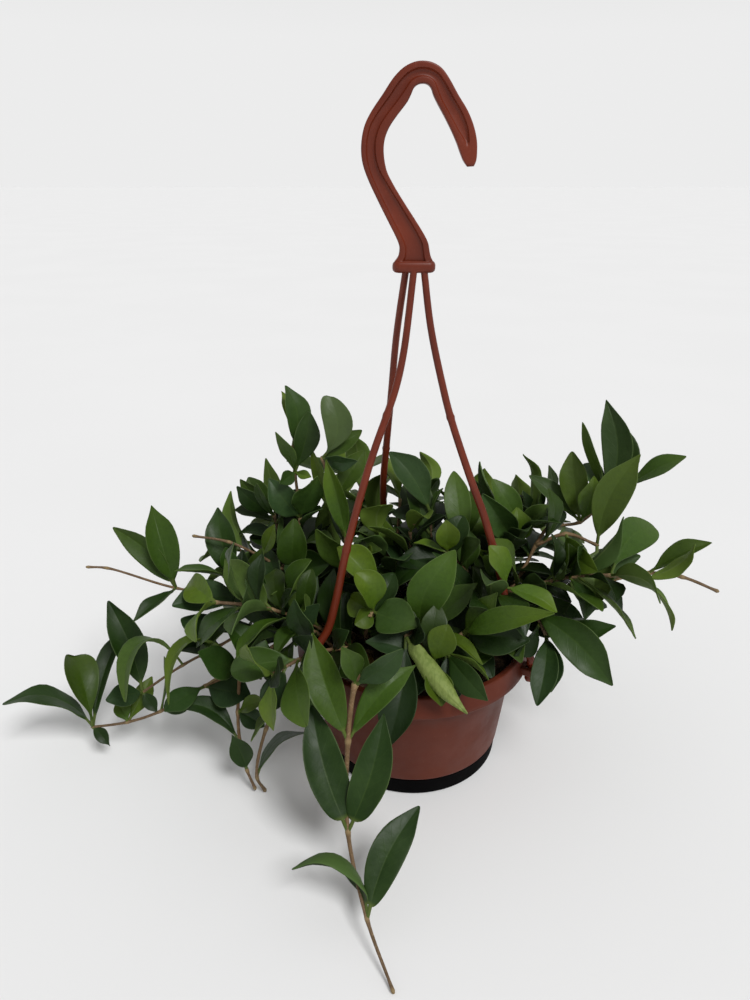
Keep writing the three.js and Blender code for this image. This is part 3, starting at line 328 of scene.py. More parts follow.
# -------------------------------------------------------------------- points and curves
def vec(*numbers):
    return np.array(numbers, dtype=float)


def vecs(points):
    return [vec(*point) for point in points]


def unit(v):
    return v / np.linalg.norm(v)


def around(radius, angle):
    return radius * math.cos(angle), radius * math.sin(angle)


def turned_about(v, axis, angle):
    """v turned about a unit axis."""
    across = np.cross(axis, v)
    return v * math.cos(angle) + across * math.sin(angle) + axis * np.dot(axis, v) * (1 - math.cos(angle))


def hermite(p0, p1, p2, p3, t):
    """Point between p1 and p2 on the centripetal Catmull-Rom curve."""
    d0, d1, d2 = (math.sqrt(np.linalg.norm(b - a)) for a, b in ((p0, p1), (p1, p2), (p2, p3)))
    m1 = ((p1 - p0) / d0 - (p2 - p0) / (d0 + d1) + (p2 - p1) / d1) * d1
    m2 = ((p2 - p1) / d1 - (p3 - p1) / (d1 + d2) + (p3 - p2) / d2) * d1
    return p1 + m1 * t + (3 * (p2 - p1) - 2 * m1 - m2) * t ** 2 + (2 * (p1 - p2) + m1 + m2) * t ** 3


def curved(points, counts):
    """Smooth curve through the given points, with a number of steps from each to the next."""
    ends = [2 * points[0] - points[1], *points, 2 * points[-1] - points[-2]]
    curve = [hermite(*ends[i:i + 4], k / count) for i, count in enumerate(counts) for k in range(count)]
    return curve + [points[-1]]


def smoothed(points, step):
    """Smooth curve through the given points in steps of about one length."""
    return curved(points, [max(1, round(np.linalg.norm(b - a) / step)) for a, b in zip(points, points[1:])])


def sight_ray(across, down):
    right = (across - PICTURE["x"]) / PICTURE["focal"]
    up = (PICTURE["y"] - down) / PICTURE["focal"]
    return vec(right, math.cos(PITCH) + up * math.sin(PITCH), up * math.cos(PITCH) - math.sin(PITCH))


def sighted(across, down, y):
    ray = sight_ray(across, down)
    return EYE + ray * (y - EYE[1]) / ray[1]


# ----------------------------------------------------------------------- mesh gathering
def linked(name, data):
    """A new object in the scene."""
    thing = bpy.data.objects.new(name, data)
    bpy.context.scene.collection.objects.link(thing)
    return thing


class Gathered:
    """Vertices, faces, materials and shading numbers of one piece."""

    def __init__(self):
        self.points, self.faces, self.slots = [], [], []
        self.place, self.growth_and_shade = [], []
        self.count = 0

    def add(self, points, faces, slot=0, place=None, growth_and_shade=(0, 0, 0)):
        points = np.asarray(points)
        self.faces += [tuple(int(i) + self.count for i in face) for face in faces]
        self.slots += [slot] * len(faces)
        self.points.append(points)
        self.place.append(np.zeros((len(points), 3)) if place is None else place)
        self.growth_and_shade.append(np.tile(growth_and_shade, (len(points), 1)))
        self.count += len(points)

    def piece(self, name, materials):
        mesh = bpy.data.meshes.new(name)
        mesh.from_pydata((np.vstack(self.points) * MM).tolist(), [], self.faces)
        for label, rows in (("place", self.place), ("growth_and_shade", self.growth_and_shade)):
            layer = mesh.attributes.new(label, "FLOAT_VECTOR", "POINT")
            layer.data.foreach_set("vector", np.vstack(rows).astype(np.float32).ravel())
        for material in materials:
            mesh.materials.append(material)
        mesh.polygons.foreach_set("material_index", self.slots)
        mesh.polygons.foreach_set("use_smooth", [True] * len(self.faces))
        mesh.validate()
        return linked(name, mesh)


def hand_in(piece, slot, *nodes):
    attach(piece, "root")
    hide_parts(*nodes)


def grid_faces(rows, ring):
    """Faces between rows of points; each row runs round the form."""
    faces = []
    for i in range(rows - 1):
        for k in range(ring):
            a, b = i * ring + k, i * ring + (k + 1) % ring
            faces.append((a, b, b + ring, a + ring))
    return faces


def capped_grid(rows, ring):
    """The same, with one face over each end."""
    last = (rows - 1) * ring
    return grid_faces(rows, ring) + [tuple(reversed(range(ring))), tuple(range(last, last + ring))]


def tube(points, radii, sides):
    """Round tube through points, closed at both ends; also gives each vertex's share of its length."""
    across = vec(1, 0.2, 0.1)  # any direction that no tube starts along
    rows = []
    for i, point in enumerate(points):
        along = unit(points[min(i + 1, len(points) - 1)] - points[max(i - 1, 0)])
        across = unit(across - along * np.dot(across, along))
        other = np.cross(along, across)
        turns = np.arange(sides) * TURN / sides
        rows.append(point + radii[i] * (np.outer(np.cos(turns), across) + np.outer(np.sin(turns), other)))
    shares = np.repeat(np.linspace(0, 1, len(points)), sides)
    return np.vstack(rows), capped_grid(len(points), sides), shares


CORNER_SHARE = 0.45  # the most of an edge that a rounded corner takes


def rounded_profile(profile, radius, steps=4):
    """A closed turned profile with its corners rounded off, apart from those on the axis."""
    out = []
    for i, corner in enumerate(profile):
        here = vec(*corner)
        if corner[0] == 0:
            out.append(here)
            continue
        before = vec(*profile[i - 1]) - here
        after = vec(*profile[(i + 1) % len(profile)]) - here
        reach = min(radius, *(np.linalg.norm(edge) * CORNER_SHARE for edge in (before, after)))
        start, end = here + unit(before) * reach, here + unit(after) * reach
        for k in range(steps + 1):
            t = k / steps
            out.append(start * (1 - t) ** 2 + 2 * here * t * (1 - t) + end * t ** 2)
    return out


def lathe(profile, steps=ROUND_STEPS):
    """Turned form from a profile that starts and ends on the axis."""
    inner = profile[1:-1]
    turns = np.arange(steps) * TURN / steps
    rows = [np.column_stack([r * np.cos(turns), r * np.sin(turns), np.full(steps, z)]) for r, z in inner]
    points = np.vstack([*rows, [[0, 0, profile[0][1]], [0, 0, profile[-1][1]]]])
    faces = grid_faces(len(inner), steps)
    foot, top = len(points) - 2, len(points) - 1
    last = (len(inner) - 1) * steps
    for k in range(steps):
        following = (k + 1) % steps
        faces.append((foot, following, k))
        faces.append((top, last + k, last + following))
    return points, faces


# ------------------------------------------------------------------------------- leaves
def blade_shape(q):
    return np.sin(np.pi * q ** BLADE["skew"]) ** BLADE["fullness"]


def leaf_axes(leaf):
    """Direction from base to tip, upper side, and the arc's turn and length."""
    chord = leaf["tip"] - leaf["base"]
    along = unit(chord)
    up = unit(leaf["face"] - along * np.dot(leaf["face"], along))
    turn = max(math.radians(leaf["bend"]), LEAST_TURN)
    length = np.linalg.norm(chord) * turn / 2 / math.sin(turn / 2)
    return along, up, turn, length


def centre_line(leaf, share):
    """Point, outward direction and forward direction at a share of the leaf's length."""
    along, up, turn, length = leaf_axes(leaf)
    angle = turn / 2 - turn * share
    radius = length / turn
    point = leaf["base"] + along * radius * (math.sin(turn / 2) - math.sin(angle))
    point = point + up * radius * (math.cos(angle) - math.cos(turn / 2))
    out = up * math.cos(angle) - along * math.sin(angle)
    return point, out, along * math.cos(angle) + up * math.sin(angle)


def coarse_corners(leaf):
    """The tip and the side corners that the leaf has in its CAD node."""
    along, up, _, length = leaf_axes(leaf)
    side = np.cross(along, up)
    corners = [leaf["tip"]]
    for q in SECTIONS[1 if length > BIG_LEAF else 0]:
        half = leaf["width"] / 2 * blade_shape(q)
        point, out, _ = centre_line(leaf, PETIOLE_SHARE + (1 - PETIOLE_SHARE) * q)
        corners += [point + side * edge + out * half * LEAF_RISE for edge in (half, -half)]
    return corners


def is_in_node(leaf, tree):
    """Whether the CAD node has the leaf's corners, of which its stem may hide one."""
    missing = [tree.find(Vector(corner * MM))[2] > FOUND_WITHIN * MM for corner in coarse_corners(leaf)]
    return sum(missing) <= 1


def sighted_leaf(base, row, move):
    across, down, length, width, roll, bend, youth = row
    turn = max(math.radians(bend), LEAST_TURN)
    distance = length * math.sin(turn / 2) / (turn / 2)
    ray = unit(sight_ray(across, down))
    nearest = np.dot(base - EYE, ray)
    gap = np.dot(base - EYE, base - EYE) - nearest ** 2
    reach = math.sqrt(max(distance ** 2 - gap, 0))
    tip = EYE + ray * (nearest - reach * NEAR_SHARE - move[0])
    tip[2] = max(tip[2], LOWEST_TIP["sighted"])
    along = unit(tip - base)
    to_eye = unit(EYE - base)
    to_eye = unit(to_eye - along * np.dot(to_eye, along))
    right = np.cross(along, to_eye)
    angle = math.radians(roll + move[1])
    face = to_eye * math.cos(angle) + right * math.sin(angle)
    return dict(base=base, tip=tip, face=face, width=width, bend=bend, youth=youth)


def grown_leaf(base, stem_along, spec, move):
    side = unit(np.cross(UP, stem_along))
    side = turned_about(side, stem_along, math.radians(spec["around"] + move[0]))
    angle = math.radians(spec["spread"] + move[1])
    tip = base + stem_along * spec["length"] * math.cos(angle) + side * spec["length"] * math.sin(angle)
    tip[2] = max(tip[2], LOWEST_TIP["grown"])
    face = stem_along + UP * FACE_UP
    return dict(base=base, tip=tip, face=face, width=spec["width"], bend=spec["bend"], youth=spec["youth"])


# ---------------------------------------------------------------------- the plant's plan
FACTOR, PRIME = 16807, 2147483647  # Park and Miller's numbers


def make_random(seed):
    """The frame's own row of random numbers."""
    state = [seed]

    def draw(low=0, high=1):
        state[0] = state[0] * FACTOR % PRIME
        return low + (high - low) * (state[0] / PRIME)
    return draw


def half_up(number):
    return math.floor(number + 0.5)


def stem_root(x, y):
    return vec(x, y, SOIL["top"] - STEM["root_depth"]), vec(x, y, SOIL["top"] + STEM["collar"])


def node_tree(name):
    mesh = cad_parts[name].data
    tree = KDTree(len(mesh.vertices))
    for i, vertex in enumerate(mesh.vertices):
        tree.insert(vertex.co, i)
    tree.balance()
    return tree


def first_in_node(tree, make, moves):
    """The leaf at the first of its possible places where the CAD node has it."""
    for move in moves:
        leaf = make(move)
        if is_in_node(leaf, tree):
            return leaf
    return None


def sighted_plan(name, place, way, shoots):
    """Ways of a listed stem's shoots, and its leaves."""
    tree = node_tree(name)
    down, collar = stem_root(*place)
    ways, leaves = [], []
    for number, nodes in enumerate(shoots):
        sights = [sighted(*node[0]) for node in nodes]
        before = [collar, *vecs(way)] if number == 0 else []
        ways.append(dict(down=down if number == 0 else None, before=before, nodes=sights))
        for step, (node, base) in enumerate(zip(nodes, sights)):
            for row_number, row in enumerate(node[1:]):
                leaf = first_in_node(tree, lambda move: sighted_leaf(base, row, move), SIGHTED_MOVES)
                if leaf:
                    leaves.append(dict(leaf, key=(number, step, row_number)))
    return dict(name=name, ways=ways, leaves=leaves)


def grown_plan(rule, index, draw):
    """Way and leaves of a stem that grows by rule, or None where the frame has no such stem."""
    name = f"{rule['name']}_{index + 1}"
    start, end = rule["sector"]
    middle = start + (end - start) * (index + draw(*IN_SHARE)) / rule["count"]
    ring, lean, droop = draw(*rule["soil_ring"]), draw(*rule["lean"]), draw(*rule["droop"])
    count = half_up(draw(*rule["nodes"]))
    specs = []
    for i in range(count * 2):
        is_top = i // 2 == count - 1
        crossed, opposite = i // 2 % 2, i % 2  # each pair of leaves stands across the pair below
        specs.append(dict(
            around=90 * crossed + 180 * opposite + draw(-UNEVEN, UNEVEN),
            spread=draw(*rule["spread"]),
            length=draw(*rule["leaf_length"]) * (TOP_SHORTER if is_top else 1),
            width=draw(*rule["leaf_width"]),
            bend=draw(*GROWN_BEND),
            youth=2 if is_top else half_up(draw()),
        ))
    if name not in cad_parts:
        return None
    tree = node_tree(name)

    def build(turn):
        azimuth = math.radians(middle + turn)
        down, collar = stem_root(*around(ring, azimuth))
        points, alongs = [collar], []
        for i in range(count):
            tilt = math.radians(min(lean + droop * i, MOST_TILT))
            alongs.append(vec(*around(math.sin(tilt), azimuth), math.cos(tilt)))
            points.append(points[-1] + alongs[-1] * (rule["first"] if i == 0 else rule["spacing"]))
        leaves = []
        for i, spec in enumerate(specs):
            node = i // 2
            leaf = first_in_node(
                tree, lambda move: grown_leaf(points[node + 1], alongs[node], spec, move), GROWN_MOVES)
            if leaf:
                leaves.append(dict(leaf, key=(0, node, i % 2)))
        ways = [dict(down=down, before=[collar], nodes=points[1:])]
        return dict(name=name, ways=ways, leaves=leaves)
    return max((build(turn) for turn in STEM_TURNS), key=lambda plan: len(plan["leaves"]))


def plant_plan():
    plans = [sighted_plan(*stem) for stem in STEMS]
    draw = make_random(SEED)
    for rule in GROWN:
        plans += [grown_plan(rule, index, draw) for index in range(rule["count"])]
    return [plan for plan in plans if plan]


# ------------------------------------------------------------------------- fine foliage
LEAF_SLOT, BARK_SLOT = 0, 1
PETIOLE_ROWS = [0, 0.03, 0.065]  # shares of the leaf's length
PETIOLE_RADIUS = 0.95
BLADE_ROWS = 20
ACROSS = [0, 0.05, 0.13, 0.3, 0.52, 0.72, 0.87, 0.96, 1]  # columns from the midrib to one edge
BLADE_THICK = 0.42  # half the thickness of an old blade
YOUNG_THINNER = 0.07  # for each step of youth
THIN_TIP = 0.5  # share of its thickness that the blade loses toward the tip
STALK_FLAT = 0.85
GROOVE = 0.3  # depth of the midrib on the upper side
RIB = 0.5  # height of the midrib under the blade
RIB_REACH = 0.09
RIB_FADES = 0.75
LEAST_HALF = 0.12  # half width at the very tip
STALK_ENDS, BLADE_WHOLE = 0.3, 0.22  # shares of the blade where it has taken over from its stalk
SECTION_POWERS = dict(round=2, flatter=6, edge=1.6)  # how the section turns from round to flat
OFF_ACROSS = 0.6  # how much of the thickness follows the cupped blade's own normal
RIDGES = ((60, 3), (23, -5), (4, 14))  # waves of crinkled blades, along and across
EDGE_SHIFT = 2.1  # how far the ripples of one edge run ahead of the other's
DRIP_SPAN = (0.68, 0.97)
TWIST_FROM, DROOP_FROM = 0.3, 0.5  # shares of the leaf's length

# A leaf's look. How its halves rise: cup as an arc, fold straight. How it bends: twist and turn
# about its length, sway to its side, lift upward, droop at the end; wave, waves and phase give the
# height, number and start of the ripples in its edges. Its outline: slim is its width, a larger
# skew has the widest place nearer the tip, a smaller fullness and point make base and tip fuller,
# wedge narrows the base, drip draws out the tip, uneven widens one half.
# Its skin: crinkle in millimetres, pale_and_shade from painted shade below 0 to paler skin above 0,
# tint from one green to another, youth from 0 to 2 where it isn't the CAD leaf's. to_eye turns its
# face toward the camera.
LOOK_SPANS = dict(
    cup=(0.056, 0.84), fold=(-0.05, 0.2), twist=(-0.6, 0.6), wave=(0.02, 0.11), waves=(1.1, 2.4),
    phase=(0, TURN), sway=(-0.045, 0.045), uneven=(-0.07, 0.07), droop=(-0.02, 0.12), skew=(0.85, 1.3),
    fullness=(0.52, 0.78), point=(0.6, 0.9), drip=(0.08, 0.42), wedge=(0, 0.5),
)
CRINKLES = (0, 0, 0.12, 0.2)
PALE_SPAN, SHADED_SPAN, SLIM_SPAN = (0, 0.05), (0.4, 1), (0.84, 0.98)
FILL_TO_EYE = 0.35  # how far a small fill leaf turns toward the eye
# Leaves whose look is partly their own, by stem, and by shoot, node and leaf.
OWN_LOOKS = {
    "stem_centre_front": {
        (0, 1, 0): dict(
            cup=-1.7, fold=0, crinkle=0.45, pale_and_shade=0.55, skew=0.75, wave=0.02, twist=0.3),
        (0, 0, 2): dict(skew=1.05, sway=-0.12, drip=0.1, tint=0.9, cup=0.5, slim=0.95),
    },
    "stem_top_mid": {
        (0, 3, 0): dict(
            sway=0.2, skew=1.6, point=0.4, wedge=0.3, drip=0, pale_and_shade=0.12, tint=0.138, youth=0, droop=0,
            slim=0.92),
        (0, 1, 0): dict(slim=0.85, fold=0.3, tint=0.9),
    },
    # The trailing stem's lower leaves take the darkest greens, tint near 0, as painted shade, since they
    # hang toward the camera where little light reaches them.
    "stem_front_trail": {
        (0, 3, 1): dict(sway=0.22, turn=2.35, cup=0.9, drip=0.3, tint=0.01, pale_and_shade=0, slim=1.2),
        (0, 3, 0): dict(
            sway=-0.07, skew=0.9, drip=0.25, fullness=0.5, point=0.65, tint=0.01, pale_and_shade=0, slim=0.84),
        (0, 2, 0): dict(
            sway=-0.05, skew=0.82, drip=0.2, fullness=0.48, wedge=0, tint=0.02, pale_and_shade=0, cup=0.5,
            slim=0.92),
        (0, 2, 1): dict(
            sway=0.05, skew=0.85, drip=0.2, fullness=0.48, wedge=0, tint=0.15, pale_and_shade=0, cup=0.6,
            slim=0.92),
        (0, 1, 0): dict(skew=0.95, drip=0.3, fullness=0.55, tint=0.3, pale_and_shade=0, cup=0.6, slim=0.88),
        (0, 1, 1): dict(skew=1, drip=0.4, fullness=0.55, tint=0.72, pale_and_shade=0, cup=0.4, slim=0.84),
    },
    "stem_top_left": {
        (0, 3, 0): dict(sway=0.12), (0, 2, 1): dict(sway=0.15, slim=0.9),
        (0, 3, 1): dict(sway=0.14, slim=0.8),
    },
    "stem_far_1": {
        (0, 3, 1): dict(slim=0.7), (0, 5, 0): dict(slim=0.6), (0, 5, 1): dict(slim=0.55),
        (0, 4, 0): dict(sway=-0.2, point=0.4, drip=0, skew=1.2, slim=1.1),
    },
    "stem_far_2": {(0, 3, 0): dict(slim=0.55), (0, 4, 0): dict(slim=0.6)},
    "stem_far_5": {(0, 1, 0): dict(slim=0.7), (0, 3, 0): dict(slim=0.65, sway=-0.25)},
    "stem_far_7": {(0, 3, 0): dict(slim=0.6, sway=0.1)},
    "stem_side_1": {(0, 3, 0): dict(slim=0.6, sway=0.1)},
    "stem_right_out": {
        (0, 5, 0): dict(slim=0.8, skew=1, sway=0.11), (0, 5, 1): dict(slim=0.62, sway=0.12),
        (0, 5, 2): dict(sway=0.12), (0, 6, 0): dict(slim=0.75, skew=1.1),
        (1, 2, 0): dict(slim=0.88, skew=0.95, sway=-0.1, cup=0.4, droop=0.02),
        (1, 2, 1): dict(to_eye=0.8, pale_and_shade=0.15, tint=0.9, drip=0.2, fold=0.3, slim=1),
        (2, 3, 0): dict(slim=0.7, skew=1.1, fold=0.3),
    },
    "stem_right_low": {
        (0, 0, 0): dict(sway=-0.07, skew=0.95, drip=0.3, to_eye=0.3, tint=0.5, slim=0.92),
        (0, 1, 0): dict(sway=-0.04), (0, 1, 1): dict(sway=-0.04, slim=0.9),
    },
    "stem_left_low": {
        (0, 1, 0): dict(slim=0.85, sway=0.1, lift=0.26),
        (0, 5, 0): dict(slim=0.95, skew=0.95, sway=0.09),
        (0, 5, 1): dict(skew=2, point=0.25, wedge=0.8, drip=0, slim=1, tint=0.02),
        (0, 5, 2): dict(slim=0.55, fold=0.4), (0, 5, 3): dict(point=1.3, drip=0.5, slim=0.9),
        (1, 2, 0): dict(slim=0.8, wave=0.12, sway=0.15), (1, 3, 0): dict(slim=0.78, point=1, skew=0.9),
    },
    "stem_left_mid": {
        (0, 2, 0): dict(sway=0.05, lift=0.26, tint=0.13, pale_and_shade=0),
        (0, 3, 0): dict(slim=0.92, skew=0.9, sway=0.04, fold=0.3, tint=0.02),
    },
    "stem_left_out": {
        (0, 1, 0): dict(slim=0.8, fold=0.3), (0, 1, 1): dict(sway=0.1, slim=0.85, skew=0.8, fold=0.3),
        (0, 1, 2): dict(sway=-0.15, slim=0.6),
    },
    "stem_hanging_pair": {(0, 0, 3): dict(sway=-0.15), (0, 2, 0): dict(sway=-0.15)},
    "stem_rosette": {
        (0, 1, 0): dict(cup=0.9, drip=0, point=0.6, tint=0.3, slim=1),
        (0, 1, 1): dict(cup=0.9, drip=0, point=0.6, tint=0.2, slim=1),
        (0, 1, 2): dict(cup=0.7, drip=0.2, point=0.8, tint=0.7, slim=1),
        (0, 1, 3): dict(cup=0.9, drip=0.1, tint=0.2),
    },
}
# How stout a stem is at its root and its tip, against the frame's four-sided one.
STOUT = {
    "stem_front_trail": (1.2, 0.62), "stem_left_out": (0.66, 0.58), "stem_left_low": (0.8, 0.7),
    "stem_left_bare": (0.75, 0.65), "stem_left_mid": (0.8, 0.7), "stem_left_upper": (0.7, 0.7),
}
STOUT_USUAL = (0.86, 0.78)


def leaf_look(leaf, own_looks, luck):
    """Small differences between leaves, drawn at random, with a few leaves' own."""
    look = {part: luck.uniform(*span) for part, span in LOOK_SPANS.items()}
    look["crinkle"] = luck.choice(CRINKLES)
    # pale_and_shade: a little real paleness, less the painted shade of leaves deep inside the plant and on
    # its left.
    look["pale_and_shade"] = luck.uniform(*PALE_SPAN) - leaf["shaded"] * luck.uniform(*SHADED_SPAN)
    look.update(tint=luck.random(), turn=0, lift=0, to_eye=FILL_TO_EYE if "rows" in leaf else 0)
    look["slim"] = luck.uniform(*SLIM_SPAN)
    look.update(own_looks.get(leaf.get("key"), {}))
    return look


def smooth_step(low, high, value):
    t = np.clip((value - low) / (high - low), 0, 1)
    return t * t * (3 - 2 * t)


def fine_outline(look, q):
    """Half the blade's width at q as a share of its widest, with a drawn-out tip on some leaves."""
    power = look["fullness"] * (1 - q) + look["point"] * q
    body = np.sin(np.pi * q ** look["skew"]) ** power * (1 - look["wedge"] * (1 - q) ** 4)
    return body * (1 - look["drip"] * smooth_step(*DRIP_SPAN, q))


def leaf_ring():
    """Places round a blade's section: across from -1 to 1 over the top, and back underneath."""
    over = [-u for u in reversed(ACROSS[1:])] + ACROSS
    under = over[-2:0:-1]
    sides = [0.5] + [1.0] * (len(over) - 2) + [0.5] + [0.0] * len(under)
    return np.array(over + under), np.array(sides)


RING_ACROSS, RING_SIDE = leaf_ring()


def crinkled(u, q, phase):
    """Height of a crinkled blade's ridges as a share of its crinkle."""
    first, second, third = (along * q + across * u for along, across in RIDGES)
    return np.sin(first + phase) * np.sin(second) + 0.5 * np.sin(third)


def blade_section(leaf, look, q):
    """Offsets across and outward round one section of the blade at q from 0 to 1."""
    u, above = RING_ACROSS, RING_SIDE * 2 - 1
    blade_half = leaf["width"] / 2 * look["slim"] * fine_outline(look, q) * (1 + look["uneven"] * u)
    stalk = PETIOLE_RADIUS * (1 - q) ** 2
    half = np.hypot(blade_half, stalk * (1 - smooth_step(0, STALK_ENDS, q)) + LEAST_HALF)
    is_blade = smooth_step(0, BLADE_WHOLE, q)
    theta = max(abs(look["cup"]) * is_blade, 1e-3) * math.copysign(1, look["cup"])
    across = half * np.sin(theta * u) / theta
    outward = half * (1 - np.cos(theta * u)) / theta
    outward = outward + look["fold"] * is_blade * half * np.abs(u)
    waved = np.sin(TURN * look["waves"] * q + look["phase"] + (u > 0) * EDGE_SHIFT)
    outward = outward + look["wave"] * half * waved * np.abs(u) ** 3 * is_blade
    outward = outward + look["crinkle"] * crinkled(u, q, look["phase"]) * is_blade * (1 - np.abs(u) ** 4)
    thin = BLADE_THICK - YOUNG_THINNER * leaf["youth"]
    thick = thin * (1 - THIN_TIP * q) * is_blade + stalk * STALK_FLAT * (1 - is_blade)
    power = SECTION_POWERS["round"] + SECTION_POWERS["flatter"] * is_blade
    body = above * thick * (1 - np.abs(u) ** power) ** (1 / power * SECTION_POWERS["edge"])
    rib = np.exp(-(u / RIB_REACH) ** 2) * is_blade * (1 - RIB_FADES * q)
    body = body - np.where(above > 0, GROOVE * rib, 0) - np.where(above < 0, RIB * rib, 0)
    return across - body * np.sin(theta * u) * OFF_ACROSS, outward + body


def add_leaf(gathered, leaf, look):
    """A thick blade with a grooved midrib on a short stalk, rooted in the stem."""
    to_eye = look["to_eye"]
    leaf = dict(leaf, face=unit(leaf["face"]) * (1 - to_eye) + unit(EYE - leaf["base"]) * to_eye)
    _, _, _, length = leaf_axes(leaf)
    count = leaf.get("rows", BLADE_ROWS)
    qs = [0.5 - 0.5 * math.cos(math.pi * i / count) for i in range(count)]
    shares = PETIOLE_ROWS + [PETIOLE_SHARE + (1 - PETIOLE_SHARE) * q for q in qs]
    rows, places = [], []
    ring = len(RING_ACROSS)
    for share, q in zip(shares, [0] * len(PETIOLE_ROWS) + qs):
        point, out, forward = centre_line(leaf, share)
        side = np.cross(forward, out)
        lean = look["turn"] + look["twist"] * (share - TWIST_FROM)
        side_now = side * math.cos(lean) + out * math.sin(lean)
        out_now = out * math.cos(lean) - side * math.sin(lean)
        across, outward = blade_section(leaf, look, q)
        point = point + (side * look["sway"] + UP * look["lift"]) * length * math.sin(math.pi * share)
        point = point - out * look["droop"] * length * smooth_step(DROOP_FROM, 1, share) ** 2
        rows.append(point + np.outer(across, side_now) + np.outer(outward, out_now))
        places.append(np.column_stack([RING_ACROSS, np.full(ring, q), RING_SIDE]))
    tip, last = len(rows) * ring, (len(rows) - 1) * ring
    faces = grid_faces(len(rows), ring) + [tuple(reversed(range(ring)))]
    faces += [(last + k, last + (k + 1) % ring, tip) for k in range(ring)]
    points = np.vstack([*rows, rows[-1].mean(axis=0)])
    # The third number carries the leaf's painted shade along with its paleness.
    growth_and_shade = (look.get("youth", leaf["youth"]) / 2, look["tint"], look["pale_and_shade"])
    gathered.add(points, faces, LEAF_SLOT, np.vstack([*places, [0, 1, 0.5]]), growth_and_shade)


BARK_SIDES = 10
BARK_STEP = 3
BARK_WOBBLE = 0.04
KNOT = dict(swell=0.45, reach=2.2)


def add_stem(gathered, way, stout, luck):
    """A slim jointed stem that swells where its leaves stand."""
    given = [*way["before"], *way["nodes"]]
    bud = given[-1] + unit(given[-1] - given[-2]) * STEM["past_end"]
    points = smoothed(given, BARK_STEP) + [bud]
    if way["down"] is not None:
        points = [way["down"]] + points
    radii = np.linspace(STEM["radius"] * stout[0], STEM["tip"] * stout[1], len(points))
    nearest = np.array([min(np.linalg.norm(p - n) for n in way["nodes"]) for p in points])
    knots = np.exp(-(nearest / KNOT["reach"]) ** 2)
    wobble = np.array([luck.uniform(-BARK_WOBBLE, BARK_WOBBLE) for _ in points])
    radii = radii * (1 + KNOT["swell"] * knots + wobble)
    radii[-1] *= 0.5
    verts, faces, shares = tube(points, radii, BARK_SIDES)
    place = np.column_stack([shares, np.repeat(knots, BARK_SIDES), np.full(len(shares), luck.random())])
    gathered.add(verts, faces, BARK_SLOT, place)


# Dried buds, each from a stem's shoot and node to a sighted place.
BUDS = [
    ("stem_inner_2", 0, 3, (413, 524, 20)), ("stem_centre_round", 0, 1, (468, 553, 2)),
    ("stem_rosette", 0, 1, (371, 615, -38)), ("stem_left_low", 0, 2, (220, 676, -31)),
]
BUD_STALK = [0.65 * share for share in (1.3, 1, 0.9)]  # radii from the stem to the bud
BUD_SCALE = dict(  # shares of a scale's length, and its radii there
    count=7, long=2.6, wide=0.85, shares=(-0.1, 0.15, 0.45, 0.75, 1), radii=(0.4, 0.9, 1, 0.65, 0.15),
)


def add_bud(gathered, start, end, luck):
    """A knot of dried scales on a thin stalk."""
    def spindle(way, radii):
        verts, faces, shares = tube(way, radii, BARK_SIDES)
        full = np.ones(len(shares))
        gathered.add(verts, faces, BARK_SLOT, np.column_stack([shares, full, full * luck.random()]))
    spindle([start, (start + end) / 2 + UP * 0.4, end], BUD_STALK)
    axis = unit(end - start)
    for _ in range(BUD_SCALE["count"]):
        lean = unit(vec(luck.gauss(0, 1), luck.gauss(0, 1), luck.gauss(0, 1)) + axis * 0.9)
        long = BUD_SCALE["long"] * luck.uniform(0.6, 1)
        way = [end + lean * long * share for share in BUD_SCALE["shares"]]
        spindle(way, [BUD_SCALE["wide"] * luck.uniform(0.8, 1.15) * share for share in BUD_SCALE["radii"]])


# Small leaves that fill the heart of the plant, past what the frame's triangles allow. Their colour carries
# much painted shade.
FILL = dict(
    heights=(84, 148), reach=108, gap=9, at_each=2, tries=14, clear=3, clear_of_arm=5, lowest=40,
    rows=13, shaded=0.85,
)
FILL_SPANS = dict(around=(0, 360), spread=(46, 78), length=(24, 38), width=(14, 20), bend=(15, 60))
FILL_YOUTHS = (0, 0, 1)
UNFILLED = {"stem_front_trail", "stem_hanging_pair", "stem_left_bare"}
POT_KEEP_OUT = dict(radius=86, height=89)
SAMPLES = dict(along=(0.2, 0.4, 0.6, 0.8, 1), across=0.8)
ARM_STEP = 3


def leaf_samples(leaf):
    """Points over a leaf that stand for its surface in tests of distance."""
    along, up, _, _ = leaf_axes(leaf)
    side = np.cross(along, up)
    points = []
    for share in SAMPLES["along"]:
        point, _, _ = centre_line(leaf, share)
        half = leaf["width"] / 2 * blade_shape(max(0, (share - PETIOLE_SHARE) / (1 - PETIOLE_SHARE)))
        points += [point + side * half * across for across in (0, SAMPLES["across"], -SAMPLES["across"])]
    return points


def lug_seat(lug):
    return vec(*around(LUG["radius"], math.radians(LUG_TURNS[lug])), PIN["seat"])


class Crowd:
    """What a new leaf has to stay clear of."""

    def __init__(self, plans):
        self.points = np.vstack([leaf_samples(leaf) for plan in plans for leaf in plan["leaves"]])
        arms = [smoothed([*vecs(path), lug_seat(lug)], ARM_STEP) for lug, _, path in ARMS]
        self.arms = np.vstack(arms)

    def has_room(self, leaf):
        samples = np.array(leaf_samples(leaf))
        heights = samples[:, 2]
        in_pot = np.hypot(samples[:, 0], samples[:, 1]) < POT_KEEP_OUT["radius"]
        if (in_pot & (heights < POT_KEEP_OUT["height"])).any() or heights.min() < FILL["lowest"]:
            return False
        tests = ((samples, self.arms, FILL["clear_of_arm"]), (samples[3:], self.points, FILL["clear"]))
        for own, others, clear in tests:
            if np.linalg.norm(others[:, None] - own[None], axis=2).min() < clear:
                return False
        return True

    def add(self, leaf):
        self.points = np.vstack([self.points, leaf_samples(leaf)])


